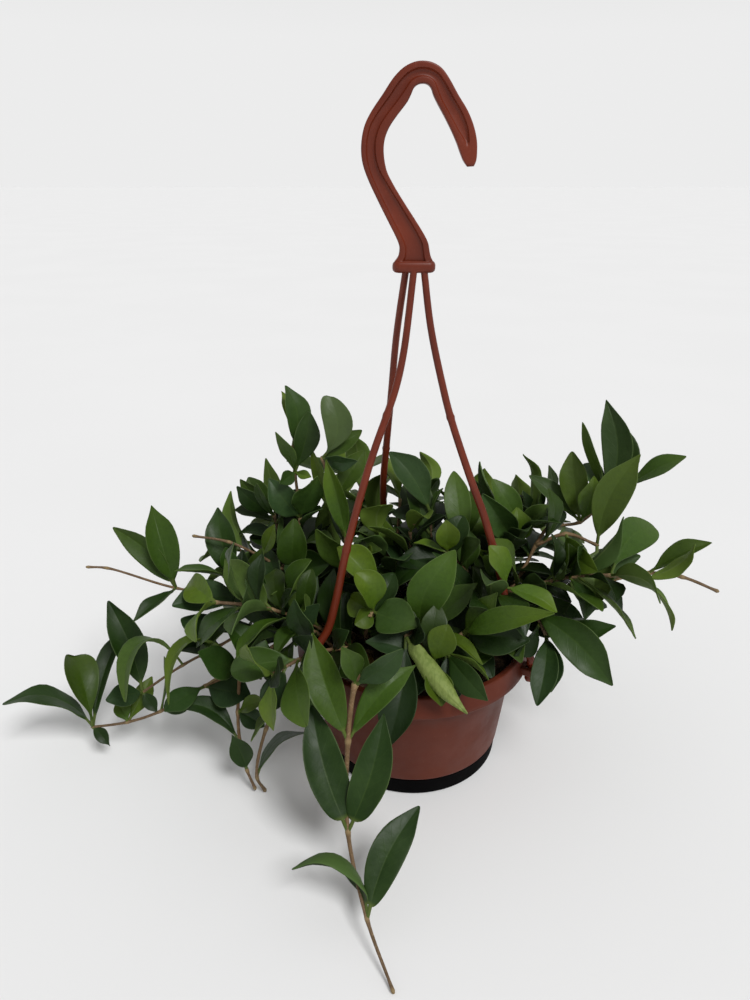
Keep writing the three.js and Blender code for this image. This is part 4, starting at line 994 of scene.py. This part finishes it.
def fill_places(way):
    """Places on a stem in the plant's heart where small leaves may stand, with its direction."""
    low, high = FILL["heights"]
    given = [*way["before"], *way["nodes"]]
    for start, end in zip(given, given[1:]):
        length = np.linalg.norm(end - start)
        count = int(length // FILL["gap"])
        for k in range(count):
            base = start + (end - start) * (k + 0.5) / count
            if low < base[2] < high and math.hypot(base[0], base[1]) <= FILL["reach"]:
                yield base, (end - start) / length


def fill_leaf(base, along, crowd, luck):
    """A small leaf that has room, or None after some tries."""
    for _ in range(FILL["tries"]):
        spec = {part: luck.uniform(*span) for part, span in FILL_SPANS.items()}
        leaf = grown_leaf(base, along, dict(spec, youth=luck.choice(FILL_YOUTHS)), (0, 0))
        if crowd.has_room(leaf):
            return dict(leaf, shaded=FILL["shaded"], rows=FILL["rows"])
    return None


def fill_stem(plan, crowd):
    """More leaves between a stem's nodes, where there is room for them."""
    luck = random.Random(plan["name"])
    for way in plan["ways"]:
        for base, along in fill_places(way):
            for _ in range(FILL["at_each"]):
                leaf = fill_leaf(base, along, crowd, luck)
                if leaf:
                    plan["leaves"].append(leaf)
                    crowd.add(leaf)


INNER_SHADE, SHADED_LEFT_SIDE = 0.7, 0.3  # how much painted shade darkens leaves deep inside the plant, and on its left, away from the key light
HEART_EDGE, HEART_TOP = (60, 108), (104, 140)  # where the shade inside ends, outward and upward


def shade_inner(plan):
    """Note how deep inside the plant each leaf stands, for its painted shade, and give the left-hand stems
    painted shade as well.
    """
    for leaf in plan["leaves"]:
        x, y, z = (leaf["base"] + leaf["tip"]) / 2
        depth = (1 - smooth_step(*HEART_EDGE, math.hypot(x, y))) * (1 - smooth_step(*HEART_TOP, z))
        left_shade = SHADED_LEFT_SIDE if plan["name"].startswith("stem_left") else 0
        leaf["shaded"] = max(leaf.get("shaded", 0), INNER_SHADE * depth, left_shade)


def make_foliage(leaf_material, bark_material):
    luck = random.Random(SEED)
    plans = plant_plan()
    crowd = Crowd(plans)
    for plan in plans:
        if plan["name"] not in UNFILLED:
            fill_stem(plan, crowd)
        shade_inner(plan)
    for plan in plans:
        stem = plan["name"]
        gathered = Gathered()
        for way in plan["ways"]:
            add_stem(gathered, way, STOUT.get(stem, STOUT_USUAL), luck)
        for name, shoot, node, place in BUDS:
            if name == stem:
                add_bud(gathered, plan["ways"][shoot]["nodes"][node], sighted(*place), luck)
        for leaf in plan["leaves"]:
            add_leaf(gathered, leaf, leaf_look(leaf, OWN_LOOKS.get(stem, {}), luck))
        hand_in(gathered.piece(f"leafy_{stem}", [leaf_material, bark_material]), "foliage", stem)


# ------------------------------------------------------------------------- made pieces
POT_ROUND, SAUCER_ROUND, LUG_ROUND = 0.8, 0.5, 1.1  # radii of the edges
PAST = 1  # how far a cutter reaches past the lug it cuts
DRAIN_CUT = (11, 16)  # heights, past both sides of the floor
RIM, LIP = 0.8, 0.35  # radii of the hook border's edges, outside and along the web
DRAFT = 0.75  # how far its inner wall slopes, with shares for the wall's middle and foot
DRAFT_AT = (0.6, 1.2)
NO_WEB = (0.42, 0.58)  # where a section without a web has its spare columns
HOOK_STEPS = 3
HOOK_END = 0.65
FOOT_EDGE = 2.2
FOOT_SIDES = 12
ARM_FINE = 2
SHARP = math.radians(38)  # edges that turn by more are drawn sharp
SOFT = math.radians(75)  # the same for the hanger, whose web runs softly into its border


def piece_from(name, material, *parts):
    gathered = Gathered()
    for points, faces in parts:
        gathered.add(points, faces)
    return gathered.piece(name, [material])


def cut_or_join(piece, tools, operation):
    """Apply one boolean with several tools, which are then gone."""
    for tool in tools:
        change = piece.modifiers.new("change", "BOOLEAN")
        change.operation = operation
        change.solver = "EXACT"
        change.object = tool
    changed = bpy.data.meshes.new_from_object(piece.evaluated_get(bpy.context.evaluated_depsgraph_get()))
    changed.set_sharp_from_angle(angle=SHARP)
    piece.modifiers.clear()
    piece.data = changed
    for tool in tools:
        bpy.data.objects.remove(tool)


def taken_from(mesh):
    """Points and faces of an editing mesh, which is then gone."""
    points = np.array([vertex.co[:] for vertex in mesh.verts])
    faces = [[vertex.index for vertex in face.verts] for face in mesh.faces]
    mesh.free()
    return points, faces


def rounded_block(low, high, radius):
    """Box with all its edges rounded."""
    mesh = bmesh.new()
    bmesh.ops.create_cube(mesh, size=1)
    low, high = vec(*low), vec(*high)
    for vertex in mesh.verts:
        vertex.co = Vector((low + high) / 2 + vec(*vertex.co) * (high - low))
    bmesh.ops.bevel(mesh, geom=mesh.edges[:], offset=radius, segments=3, profile=0.5, affect="EDGES")
    return taken_from(mesh)


def turned_z(points, degrees):
    c, s = math.cos(math.radians(degrees)), math.sin(math.radians(degrees))
    return np.asarray(points) @ np.array([[c, s, 0], [-s, c, 0], [0, 0, 1]])


def post(place, radius, low, high, sides=24):
    return tube([vec(*place, low), vec(*place, high)], [radius, radius], sides)[:2]


def make_pot(material):
    pot = piece_from("pot_shell", material, lathe(rounded_profile(POT_PROFILE, POT_ROUND)))
    lugs, cuts = [], []
    half = LUG["width"] / 2
    for turn in LUG_TURNS:
        low, high = (LUG["inner"], -half, LUG["low"]), (LUG["outer"], half, LUG["high"])
        points, faces = rounded_block(low, high, LUG_ROUND)
        lugs.append(piece_from("lug", material, (turned_z(points, turn), faces)))
        place = around(LUG["radius"], math.radians(turn))
        cuts.append(post(place, LUG["hole"], LUG["low"] - PAST, LUG["high"] + PAST))
    for i in range(DRAIN["count"]):
        cuts.append(post(around(DRAIN["ring"], TURN * i / DRAIN["count"]), DRAIN["radius"], *DRAIN_CUT))
    cut_or_join(pot, lugs, "UNION")
    cut_or_join(pot, [piece_from("hole", material, cut) for cut in cuts], "DIFFERENCE")
    hand_in(pot, "pot_plastic", "pot")


def make_saucer(material):
    saucer = piece_from("saucer_tray", material, lathe(rounded_profile(SAUCER_PROFILE, SAUCER_ROUND)))
    hand_in(saucer, "saucer_plastic", "saucer")


def rounding(radius, steps=3):
    """Distances in from an edge, each with how far a rounded surface lies under the flat there."""
    angles = [math.pi / 2 * k / steps for k in range(steps + 1)]
    return [(radius * (1 - math.cos(a)), radius * (1 - math.sin(a))) for a in angles]


def strip_section(width, web):
    """Distances across the hook's strip, with half its depth at each."""
    full, thin = HOOK_DEPTH / 2, WEB_DEPTH / 2
    low, high = (width * share for share in web or NO_WEB)
    draft = min(DRAFT, (high - low) / 3)
    middle, foot = (draft * share for share in DRAFT_AT)

    def border(edge, inner, way):
        """One edge's border, from outside to the web."""
        rim = [(edge + way * d, full - drop) for d, drop in rounding(RIM)]
        lip = [(inner - way * d, full - drop) for d, drop in reversed(rounding(LIP))]
        wall = [(inner + way * middle, thin + LIP), (inner + way * foot, thin)]
        return rim + (lip + wall if web else [(d, full) for d, _ in lip + wall])
    return border(0, low, 1) + border(width, high, -1)[::-1]


def hook_stations():
    """The strip's edges and web at even steps along smooth curves through the given stations."""
    counts = [HOOK_STEPS] * (len(HOOK) - 1)
    outer, inner = (curved(vecs(row[side] for row in HOOK), counts) for side in (0, 1))
    webs = []
    for (_, _, web), (_, _, following) in zip(HOOK, HOOK[1:]):
        for k in range(HOOK_STEPS):
            has_web = web and (following or k == 0)
            share = k / HOOK_STEPS
            webs.append([a + (b - a) * share for a, b in zip(web, following or web)] if has_web else None)
    return list(zip(outer, inner, webs + [None]))


def hook_strip():
    """The hook's strip with a raised border round a thin web."""
    rows = []
    stations = hook_stations()
    for number, (outer, inner, web) in enumerate(stations):
        width = np.linalg.norm(inner - outer)
        flatter = HOOK_END if number == len(stations) - 1 else 1
        back = []
        for d, half in strip_section(width, web):
            x, z = outer + (inner - outer) * d / width
            back.append((x, half * flatter, z))
        rows.append(np.array([(x, -y, z) for x, y, z in back] + back[::-1]))
    ring = len(rows[0])
    faces = grid_faces(len(rows), ring)
    last = (len(rows) - 1) * ring
    for k in range(ring // 2 - 1):
        faces.append((k + 1, k, ring - 1 - k, ring - 2 - k))
        faces.append((last + k, last + k + 1, last + ring - 2 - k, last + ring - 1 - k))
    return np.vstack(rows), faces


def foot_bar():
    """Flat foot with round ends and rounded edges."""
    radius = FOOT["depth"] / 2
    reach = FOOT["width"] / 2 - radius
    levels = [(FOOT["low"] + drop, inset) for inset, drop in reversed(rounding(FOOT_EDGE))]
    levels += [(FOOT["high"] - drop, inset) for inset, drop in rounding(FOOT_EDGE)]
    rows = []
    for z, inset in levels:
        for end, first in ((1, -90), (-1, 90)):
            for k in range(FOOT_SIDES + 1):
                x, y = around(radius - inset, math.radians(first + 180 * k / FOOT_SIDES))
                rows.append((FOOT["x"] + end * reach + x, y, z))
    return np.array(rows), capped_grid(len(levels), 2 * (FOOT_SIDES + 1))


def hanger_arm(lug, nubs, path):
    """One bowed arm with its nubs, ending in a pin and bead through its lug."""
    seat = lug_seat(lug)
    given = vecs(path)
    points = smoothed([*given, seat + UP * PIN["neck"], seat], ARM_FINE)
    radii = np.linspace(ARM["top_radius"], ARM["end_radius"], len(points))
    for nub in nubs:
        away = np.array([np.linalg.norm(point - given[nub]) for point in points])
        radii = radii * (1 + (ARM["nub"] - 1) * np.exp(-(away / ARM["nub_reach"]) ** 2))
    low, high, bead = PIN["bead_low"], PIN["bead_high"], PIN["bead"]
    pin = [  # heights and radii on the way down to the bead and over it
        (PIN["seat"] - 0.9, PIN["radius"]), (high + 0.5, PIN["radius"]), (high - 0.3, bead * 0.9),
        ((low + high) / 2, bead), (low + 0.6, bead * 0.75), (low, bead * 0.4),
    ]
    points += [vec(seat[0], seat[1], z) for z, _ in pin]
    return tube(points, [*radii, *(radius for _, radius in pin)], ARM["sides"])[:2]


def make_hanger(material):
    hanger = piece_from("hanger_frame", material, hook_strip())
    others = [foot_bar(), *(hanger_arm(*arm) for arm in ARMS)]
    cut_or_join(hanger, [piece_from("part", material, other) for other in others], "UNION")
    hanger.data.set_sharp_from_angle(angle=SOFT)
    hand_in(hanger, "hanger_plastic", "hanger")


# ----------------------------------------------------------------- soil and what lies on it
SOIL_RINGS, SOIL_SIDES = 60, 160
SOIL_HIGHEST = SOIL["top"] + 0.5
SOIL_EDGE = 2  # width of the ring at the wall where the grain fades out
CLODS = dict(scale=0.14, share=0.7, rough=0.9, step=2.1, layers=5)
GRAINS = dict(scale=0.9, share=0.3, slice=7)
CRUMBS = dict(count=420, from_wall=4, sunk=0.25, uneven=(0.7, 1.2))
CRUMB_SPANS = ((0.6, 1.7), (0.5, 1.1), (0.4, 0.8))  # half its length, width and height


def wall_radius(z):
    radii, heights = zip(*SOIL["wall"])
    return float(np.interp(z, heights, radii)) - SOIL["gap"]


def soil_height(x, y):
    """The soil's top without its grain, as in the frame."""
    rim = wall_radius(SOIL["top"])
    waves = SOIL_WAVES
    wave = math.sin(x * waves["along_x"] + waves["shift"]) * math.cos(y * waves["along_y"]) - waves["sunk"]
    return SOIL["top"] + waves["height"] * wave * min(1, waves["edge"] * (1 - math.hypot(x, y) / rim))


def soil_top(x, y, fade=1):
    """Height of the soil's top with its clods and grains."""
    place = Vector((x * CLODS["scale"], y * CLODS["scale"], 0))
    clods = noise.fractal(place, CLODS["rough"], CLODS["step"], CLODS["layers"])
    grains = noise.noise(Vector((x * GRAINS["scale"], y * GRAINS["scale"], GRAINS["slice"])))
    grain = CLODS["share"] * clods + GRAINS["share"] * grains
    return min(soil_height(x, y) + grain * fade, SOIL_HIGHEST)


def soil_body():
    """Soil that fills the pot, fine on top."""
    rim = wall_radius(SOIL["top"])
    turns = [TURN * k / SOIL_SIDES for k in range(SOIL_SIDES)]
    points = [(0, 0, soil_top(0, 0))]
    for ring in range(1, SOIL_RINGS + 1):
        radius = rim * ring / SOIL_RINGS
        fade = 1 - float(smooth_step(rim - SOIL_EDGE, rim, radius))
        for turn in turns:
            x, y = around(radius, turn)
            points.append((x, y, soil_top(x, y, fade)))
    for z in (SOIL["wall"][1][1], SOIL["bottom"]):
        points += [(*around(wall_radius(z), turn), z) for turn in turns]
    faces = [(0, 1 + k, 1 + (k + 1) % SOIL_SIDES) for k in range(SOIL_SIDES)]
    for face in grid_faces(SOIL_RINGS + 2, SOIL_SIDES):
        faces.append(tuple(i + 1 for i in reversed(face)))
    last = 1 + (SOIL_RINGS + 1) * SOIL_SIDES
    faces.append(tuple(reversed(range(last, last + SOIL_SIDES))))
    return points, faces


def crumb(luck):
    """One small uneven clod or chip, sunk a little in the soil."""
    reach = wall_radius(SOIL["top"]) - CRUMBS["from_wall"]
    x, y = around(reach * math.sqrt(luck.random()), luck.uniform(0, TURN))
    size = vec(*(luck.uniform(*span) for span in CRUMB_SPANS))
    mesh = bmesh.new()
    bmesh.ops.create_icosphere(mesh, subdivisions=1, radius=1)
    points, faces = taken_from(mesh)
    points = points * size * np.array([[luck.uniform(*CRUMBS["uneven"])] for _ in points])
    points = turned_z(points, luck.uniform(0, 360))
    return points + vec(x, y, soil_top(x, y) + size[2] * CRUMBS["sunk"]), faces


def make_soil(material):
    luck = random.Random(SEED + 1)
    gathered = Gathered()
    gathered.add(*soil_body())
    for _ in range(CRUMBS["count"]):
        points, faces = crumb(luck)
        gathered.add(points, faces, 0, np.tile([0, 0, luck.random()], (len(points), 1)))
    hand_in(gathered.piece("soil_fill", [material]), "soil", "soil")


def lying_height(node):
    """Middle height of a thing that lies on the soil."""
    low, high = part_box(node)
    return (low[2] / MM + high[2] / MM) / 2


FALLEN_LOOK = dict(
    cup=0.25, fold=0.05, twist=0.1, wave=0.08, waves=2.4, phase=1, sway=0.02, lift=0, uneven=0.03,
    droop=0, skew=0.85, fullness=0.85, point=0.9, drip=0.2, wedge=0.2, crinkle=0.18, pale_and_shade=0, tint=0.5,
    to_eye=0, turn=0, slim=1,
)
TWIG_STEP, TWIG_UNEVEN, TWIG_TINT = 1.5, (0.85, 1.1), 0.4


def make_fallen_leaf(material):
    height = lying_height("leaf_fallen")
    leaf = dict(
        FALLEN_LEAF, base=vec(*FALLEN_LEAF["base"], height), tip=vec(*FALLEN_LEAF["tip"], height),
        face=UP, youth=0)
    gathered = Gathered()
    add_leaf(gathered, leaf, FALLEN_LOOK)
    hand_in(gathered.piece("fallen_leaf", [material]), "dead_leaf", "leaf_fallen")


def make_twig(material):
    height = lying_height("twig_dry")
    points = smoothed([vec(x, y, height) for x, y in TWIG["points"]], TWIG_STEP)
    luck = random.Random(SEED + 2)
    radii = np.linspace(*TWIG["radii"], len(points)) * [luck.uniform(*TWIG_UNEVEN) for _ in points]
    verts, faces, shares = tube(points, radii, BARK_SIDES)
    gathered = Gathered()
    gathered.add(verts, faces, 0, np.column_stack([shares, shares * 0, shares * 0 + TWIG_TINT]))
    hand_in(gathered.piece("dry_twig", [material]), "dead_twig", "twig_dry")


# --------------------------------------------------------------------------- materials
def shade(red, green, blue):
    """Linear colour from the usual numbers up to 255."""
    parts = [c / 255 for c in (red, green, blue)]
    return (*(c / 12.92 if c < 0.04045 else ((c + 0.055) / 1.055) ** 2.4 for c in parts), 1)


class Nodes:
    """Short names for the building of a node tree."""

    def __init__(self, tree):
        self.nodes, self.links = tree.nodes, tree.links

    def node(self, kind, **settings):
        node = self.nodes.new(kind)
        for setting, value in settings.items():
            setattr(node, setting, value)
        return node

    def put(self, socket, value):
        if isinstance(value, bpy.types.NodeSocket):
            self.links.new(value, socket)
        else:
            socket.default_value = value

    def math(self, operation, *values):
        node = self.node("ShaderNodeMath", operation=operation)
        for socket, value in zip(node.inputs, values):
            self.put(socket, value)
        return node.outputs[0]

    def times(self, first, second):
        return self.math("MULTIPLY", first, second)

    def spread(self, value, low, high, to_low=0, to_high=1, course="SMOOTHSTEP"):
        """A value's range from low to high laid over another range, and held inside it."""
        node = self.node("ShaderNodeMapRange", interpolation_type=course)
        for socket, number in zip(node.inputs, (value, low, high, to_low, to_high)):
            self.put(socket, number)
        return node.outputs[0]

    def parts(self, vector):
        split = self.node("ShaderNodeSeparateXYZ")
        self.links.new(vector, split.inputs[0])
        return split.outputs


class Look(Nodes):
    """One node material under construction. Its plain colours have the usual numbers up to 255."""

    def __init__(self, name, roughness, specular):
        self.material = bpy.data.materials.new(name)
        self.material.use_nodes = True
        super().__init__(self.material.node_tree)
        self.shader = self.nodes["Principled BSDF"].inputs
        self.shader["Roughness"].default_value = roughness
        self.shader["Specular IOR Level"].default_value = specular
        self.object_place = self.node("ShaderNodeTexCoord").outputs["Object"]

    def mix(self, share, first, second):
        node = self.node("ShaderNodeMix", data_type="RGBA")
        self.put(node.inputs[0], share)
        for index, colour in ((6, first), (7, second)):
            self.put(node.inputs[index], shade(*colour) if isinstance(colour, tuple) else colour)
        return node.outputs[2]

    def layered(self, body, *layers):
        """Colours laid over one another: by a share, or where a value rises over a span, up to a share."""
        for share, *span, colour in layers:
            if span:
                low, high, most = span
                share = self.spread(share, low, high, 0, most)
            body = self.mix(share, body, colour)
        return body

    def numbers(self, label):
        """The three numbers that a vertex carries under a name."""
        return self.parts(self.node("ShaderNodeAttribute", attribute_name=label).outputs["Vector"])

    def noise(self, scale, detail=3, rough=0.5, stretch=(1, 1, 1)):
        place = self.node("ShaderNodeMapping")
        place.inputs["Scale"].default_value = stretch
        self.links.new(self.object_place, place.inputs["Vector"])
        node = self.node("ShaderNodeTexNoise")
        self.links.new(place.outputs[0], node.inputs["Vector"])
        for name, value in (("Scale", scale), ("Detail", detail), ("Roughness", rough)):
            node.inputs[name].default_value = value
        return node.outputs[0]

    def colour(self, value):
        self.put(self.shader["Base Color"], value)

    def roughness(self, value):
        self.put(self.shader["Roughness"], value)

    def bump(self, height, distance, strength):
        """Relief of a height in millimetres laid on the surface, over any laid before it."""
        node = self.node("ShaderNodeBump")
        node.inputs["Strength"].default_value = strength
        node.inputs["Distance"].default_value = distance * MM
        self.put(node.inputs["Height"], height)
        normal = self.shader["Normal"]
        if normal.is_linked:
            self.links.new(normal.links[0].from_socket, node.inputs["Normal"])
        self.links.new(node.outputs[0], normal)


def green_leaf_material():
    look = Look("leaf_green", 0.45, 0.21)
    across, along, side = look.numbers("place")
    youth, tint, pale_and_shade = look.numbers("growth_and_shade")
    out = look.math("ABSOLUTE", across)
    # Painted shade, from pale_and_shade below 0, darkens leaves deep inside the plant and on its left.
    painted_shade = look.times(pale_and_shade, -1)
    blotch, fine = look.noise(55, 3, 0.6), look.noise(420, 2, 0.6)
    streaky = look.noise(520, 3, 0.6, (1, 0.5, 0.22))
    bluish = look.spread(look.math("FRACT", look.times(tint, 7)), 0.45, 0.95, 0, 0.85)
    old = look.mix(bluish, look.mix(tint, (23, 44, 6), (42, 69, 13)), (44, 66, 37))
    young = look.mix(tint, (76, 98, 12), (60, 88, 18))
    vein_turn = look.math("SUBTRACT", look.times(along, 8), look.times(out, 1.7))
    vein = look.spread(look.math("PINGPONG", vein_turn, 0.5), 0.42, 0.5)
    vein = look.times(vein, look.spread(out, 0.9, 0.55))
    rib = look.times(look.spread(out, 0.07, 0.01), look.spread(along, 1.0, 0.3))
    streak = look.times(look.spread(streaky, 0.42, 0.62), look.spread(pale_and_shade, 0.3, 0.6, 0, 0.6))
    top = look.layered(
        look.mix(look.spread(youth, 0.1, 1.0), old, young),
        (blotch, 0.35, 0.75, 0.3, (58, 80, 36)),
        (fine, 0.3, 0.8, 0.25, (24, 44, 9)),
        (look.times(along, look.math("ADD", youth, 0.1)), 0.25, 1.1, 0.35, (96, 112, 30)),
        (look.times(vein, 0.06), (70, 94, 40)),
        (look.times(rib, 0.13), (80, 102, 42)),
        (look.times(look.spread(out, 0.95, 1.0), 0.45), (104, 120, 70)),
        (pale_and_shade, (146, 158, 92)),
        (streak, (88, 106, 44)),
        # painted shade of inner and left-hand leaves, on the upper side
        (painted_shade, (9, 21, 3)))
    under = look.layered(
        look.mix(youth, (62, 86, 38), (90, 112, 36)),
        (blotch, 0.3, 0.8, 0.3, (86, 104, 58)),
        (look.times(look.spread(out, 0.1, 0.03), 0.5), (104, 120, 66)),
        (look.times(pale_and_shade, 0.8), (160, 172, 108)),
        # the same painted shade underneath
        (painted_shade, (20, 36, 10)))
    blade = look.mix(look.spread(side, 0.3, 0.7), under, top)
    look.colour(look.mix(look.times(look.spread(along, 0.05, 0.0), 0.7), blade, (84, 98, 42)))
    rough = look.spread(look.noise(90, 2, 0.5), 0.3, 0.7, 0.4, 0.53)
    look.roughness(look.math("ADD", rough, look.spread(side, 0.7, 0.3, 0, 0.16)))
    look.bump(vein, 0.06, 0.5)
    look.bump(look.noise(160, 3, 0.55), 0.5, 0.55)
    look.bump(look.noise(1100, 2, 0.5), 0.05, 0.5)
    return look.material


def bark_material(name, low, high, knot):
    look = Look(name, 0.68, 0.25)
    along, swell, tint = look.numbers("place")
    streak = look.noise(260, 4, 0.65, (1, 1, 0.35))
    look.colour(look.layered(
        look.mix(look.spread(along, 0.45, 1.0), low, high),
        (streak, 0.35, 0.7, 0.55, (74, 56, 36)),
        (look.noise(900, 2, 0.6), 0.5, 0.75, 0.4, (168, 146, 112)),
        (look.times(look.spread(swell, 0.35, 1.0), 0.6), knot),
        (look.times(tint, 0.25), (92, 80, 54))))
    look.roughness(look.spread(streak, 0.3, 0.7, 0.6, 0.78))
    look.bump(streak, 0.5, 0.7)
    look.bump(look.noise(1500, 2, 0.5), 0.1, 0.5)
    return look.material


def plastic_material(name, body, lit, wear, roughness, specular):
    """Moulded plastic with uneven gloss, fine orange peel and a little dust."""
    look = Look(name, roughness, specular)
    scratch = look.noise(120, 5, 0.7, (1, 1, 0.12))
    look.colour(look.layered(
        body, (look.noise(24, 4, 0.6), 0.3, 0.75, 1, lit), (look.noise(700, 3, 0.6), 0.6, 0.8, 0.3, wear),
        (scratch, 0.62, 0.75, 0.2, wear)))
    uneven = look.spread(look.noise(60, 3, 0.6), 0.3, 0.7, roughness - 0.06, roughness + 0.08)
    look.roughness(look.math("ADD", uneven, look.spread(scratch, 0.62, 0.75, 0, 0.12)))
    look.bump(look.noise(40, 2, 0.5), 0.3, 0.4)
    look.bump(look.noise(1400, 2, 0.5), 0.03, 0.6)
    return look.material


def soil_material():
    look = Look("potting_soil", 0.95, 0.2)
    _, _, chip = look.numbers("place")
    look.colour(look.layered(
        (28, 20, 14), (look.noise(210, 5, 0.7), 0.3, 0.7, 1, (66, 49, 34)),
        (look.noise(900, 3, 0.6), 0.55, 0.7, 1, (96, 76, 54)), (chip, 0.5, 1.0, 0.7, (104, 80, 54))))
    look.bump(look.noise(420, 5, 0.7), 0.8, 0.9)
    return look.material


def dead_leaf_material():
    look = Look("dead_leaf", 0.62, 0.3)
    across, along, _ = look.numbers("place")
    out = look.math("ABSOLUTE", across)
    look.colour(look.layered(
        (148, 128, 56), (look.noise(90, 4, 0.6), 0.35, 0.7, 1, (118, 84, 40)),
        (look.noise(380, 3, 0.7), 0.6, 0.72, 1, (66, 42, 24)), (out, 0.8, 1.0, 0.7, (84, 56, 30)),
        (out, 0.07, 0.02, 0.7, (168, 148, 90)), (along, 0.8, 1.0, 0.6, (72, 48, 26))))
    look.bump(look.noise(240, 4, 0.6), 0.5, 0.7)
    return look.material


# ----------------------------------------------------------------- camera, light, stage
FLOOR_GREYS = (0.76, 0.77)  # linear
FLOOR_SIZE = 60  # metres
NEAR_SIDE, FAR_SIDE, OVERHEAD = 0.45, 0.84, 0.47  # how bright the world is on three sides
NEAR_TO_FAR, UP_TO_OVERHEAD = (-0.7, 0.7), (0.15, 0.8)  # where it passes from one to the other
KEY = dict(azimuth=35, height=52, strength=2.4, spread=20)


def make_camera():
    camera = linked("camera", bpy.data.cameras.new("camera"))
    camera.location = Vector(EYE * MM)
    camera.rotation_euler = (math.pi / 2 - PITCH, 0, 0)
    camera.data.lens = LENS
    camera.data.sensor_width = SENSOR
    camera.data.clip_start = 0.01
    bpy.context.scene.camera = camera


def make_sun():
    """Soft light from far off; azimuth 0 comes from the camera's side and grows to its right."""
    light = linked("key", bpy.data.lights.new("key", "SUN"))
    light.data.energy = KEY["strength"]
    light.data.angle = math.radians(KEY["spread"])
    light.rotation_euler = (math.radians(90 - KEY["height"]), 0, math.radians(KEY["azimuth"]))


def make_world():
    """White behind the object, and less bright overhead and on the camera's side."""
    world = bpy.data.worlds.new("studio")
    world.use_nodes = True
    studio = Nodes(world.node_tree)
    _, back, up = studio.parts(studio.node("ShaderNodeTexCoord").outputs["Generated"])
    level = studio.spread(back, *NEAR_TO_FAR, NEAR_SIDE, FAR_SIDE, "LINEAR")
    background = studio.nodes["Background"].inputs
    studio.put(background["Strength"], studio.spread(up, *UP_TO_OVERHEAD, level, OVERHEAD, "LINEAR"))
    background["Color"].default_value = (1, 1, 1, 1)
    bpy.context.scene.world = world


def floor_material():
    look = Look("pale_floor", 0.9, 0.1)
    look.colour(look.spread(look.noise(3, 2), 0.3, 0.7, *FLOOR_GREYS))
    return look.material


def make_stage():
    make_world()
    bpy.context.scene.view_settings.view_transform = "Standard"
    make_sun()
    bpy.ops.mesh.primitive_plane_add(size=FLOOR_SIZE)
    floor = bpy.context.object
    floor.name = "floor"
    floor.data.materials.append(floor_material())
    floor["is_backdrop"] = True


# -------------------------------------------------------------------------------- scene
make_camera()
make_stage()
make_pot(plastic_material("pot_brown", (80, 32, 17), (91, 39, 22), (114, 66, 50), 0.5, 0.2))
make_saucer(plastic_material("saucer_black", (2, 2, 2), (4, 3, 4), (22, 19, 18), 0.75, 0.05))
make_hanger(plastic_material("hanger_brown", (91, 32, 14), (110, 42, 20), (132, 72, 56), 0.42, 0.32))
make_soil(soil_material())
make_fallen_leaf(dead_leaf_material())
make_twig(bark_material("dry_twig_bark", (128, 104, 76), (140, 116, 84), (150, 128, 96)))
make_foliage(
    green_leaf_material(), bark_material("stem_bark", (118, 92, 64), (98, 78, 58), (146, 126, 88)))

boxes = {"cad": CAD_BOX, "visual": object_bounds()}
{name: [[float(c) for c in corner] for corner in box] for name, box in boxes.items()}
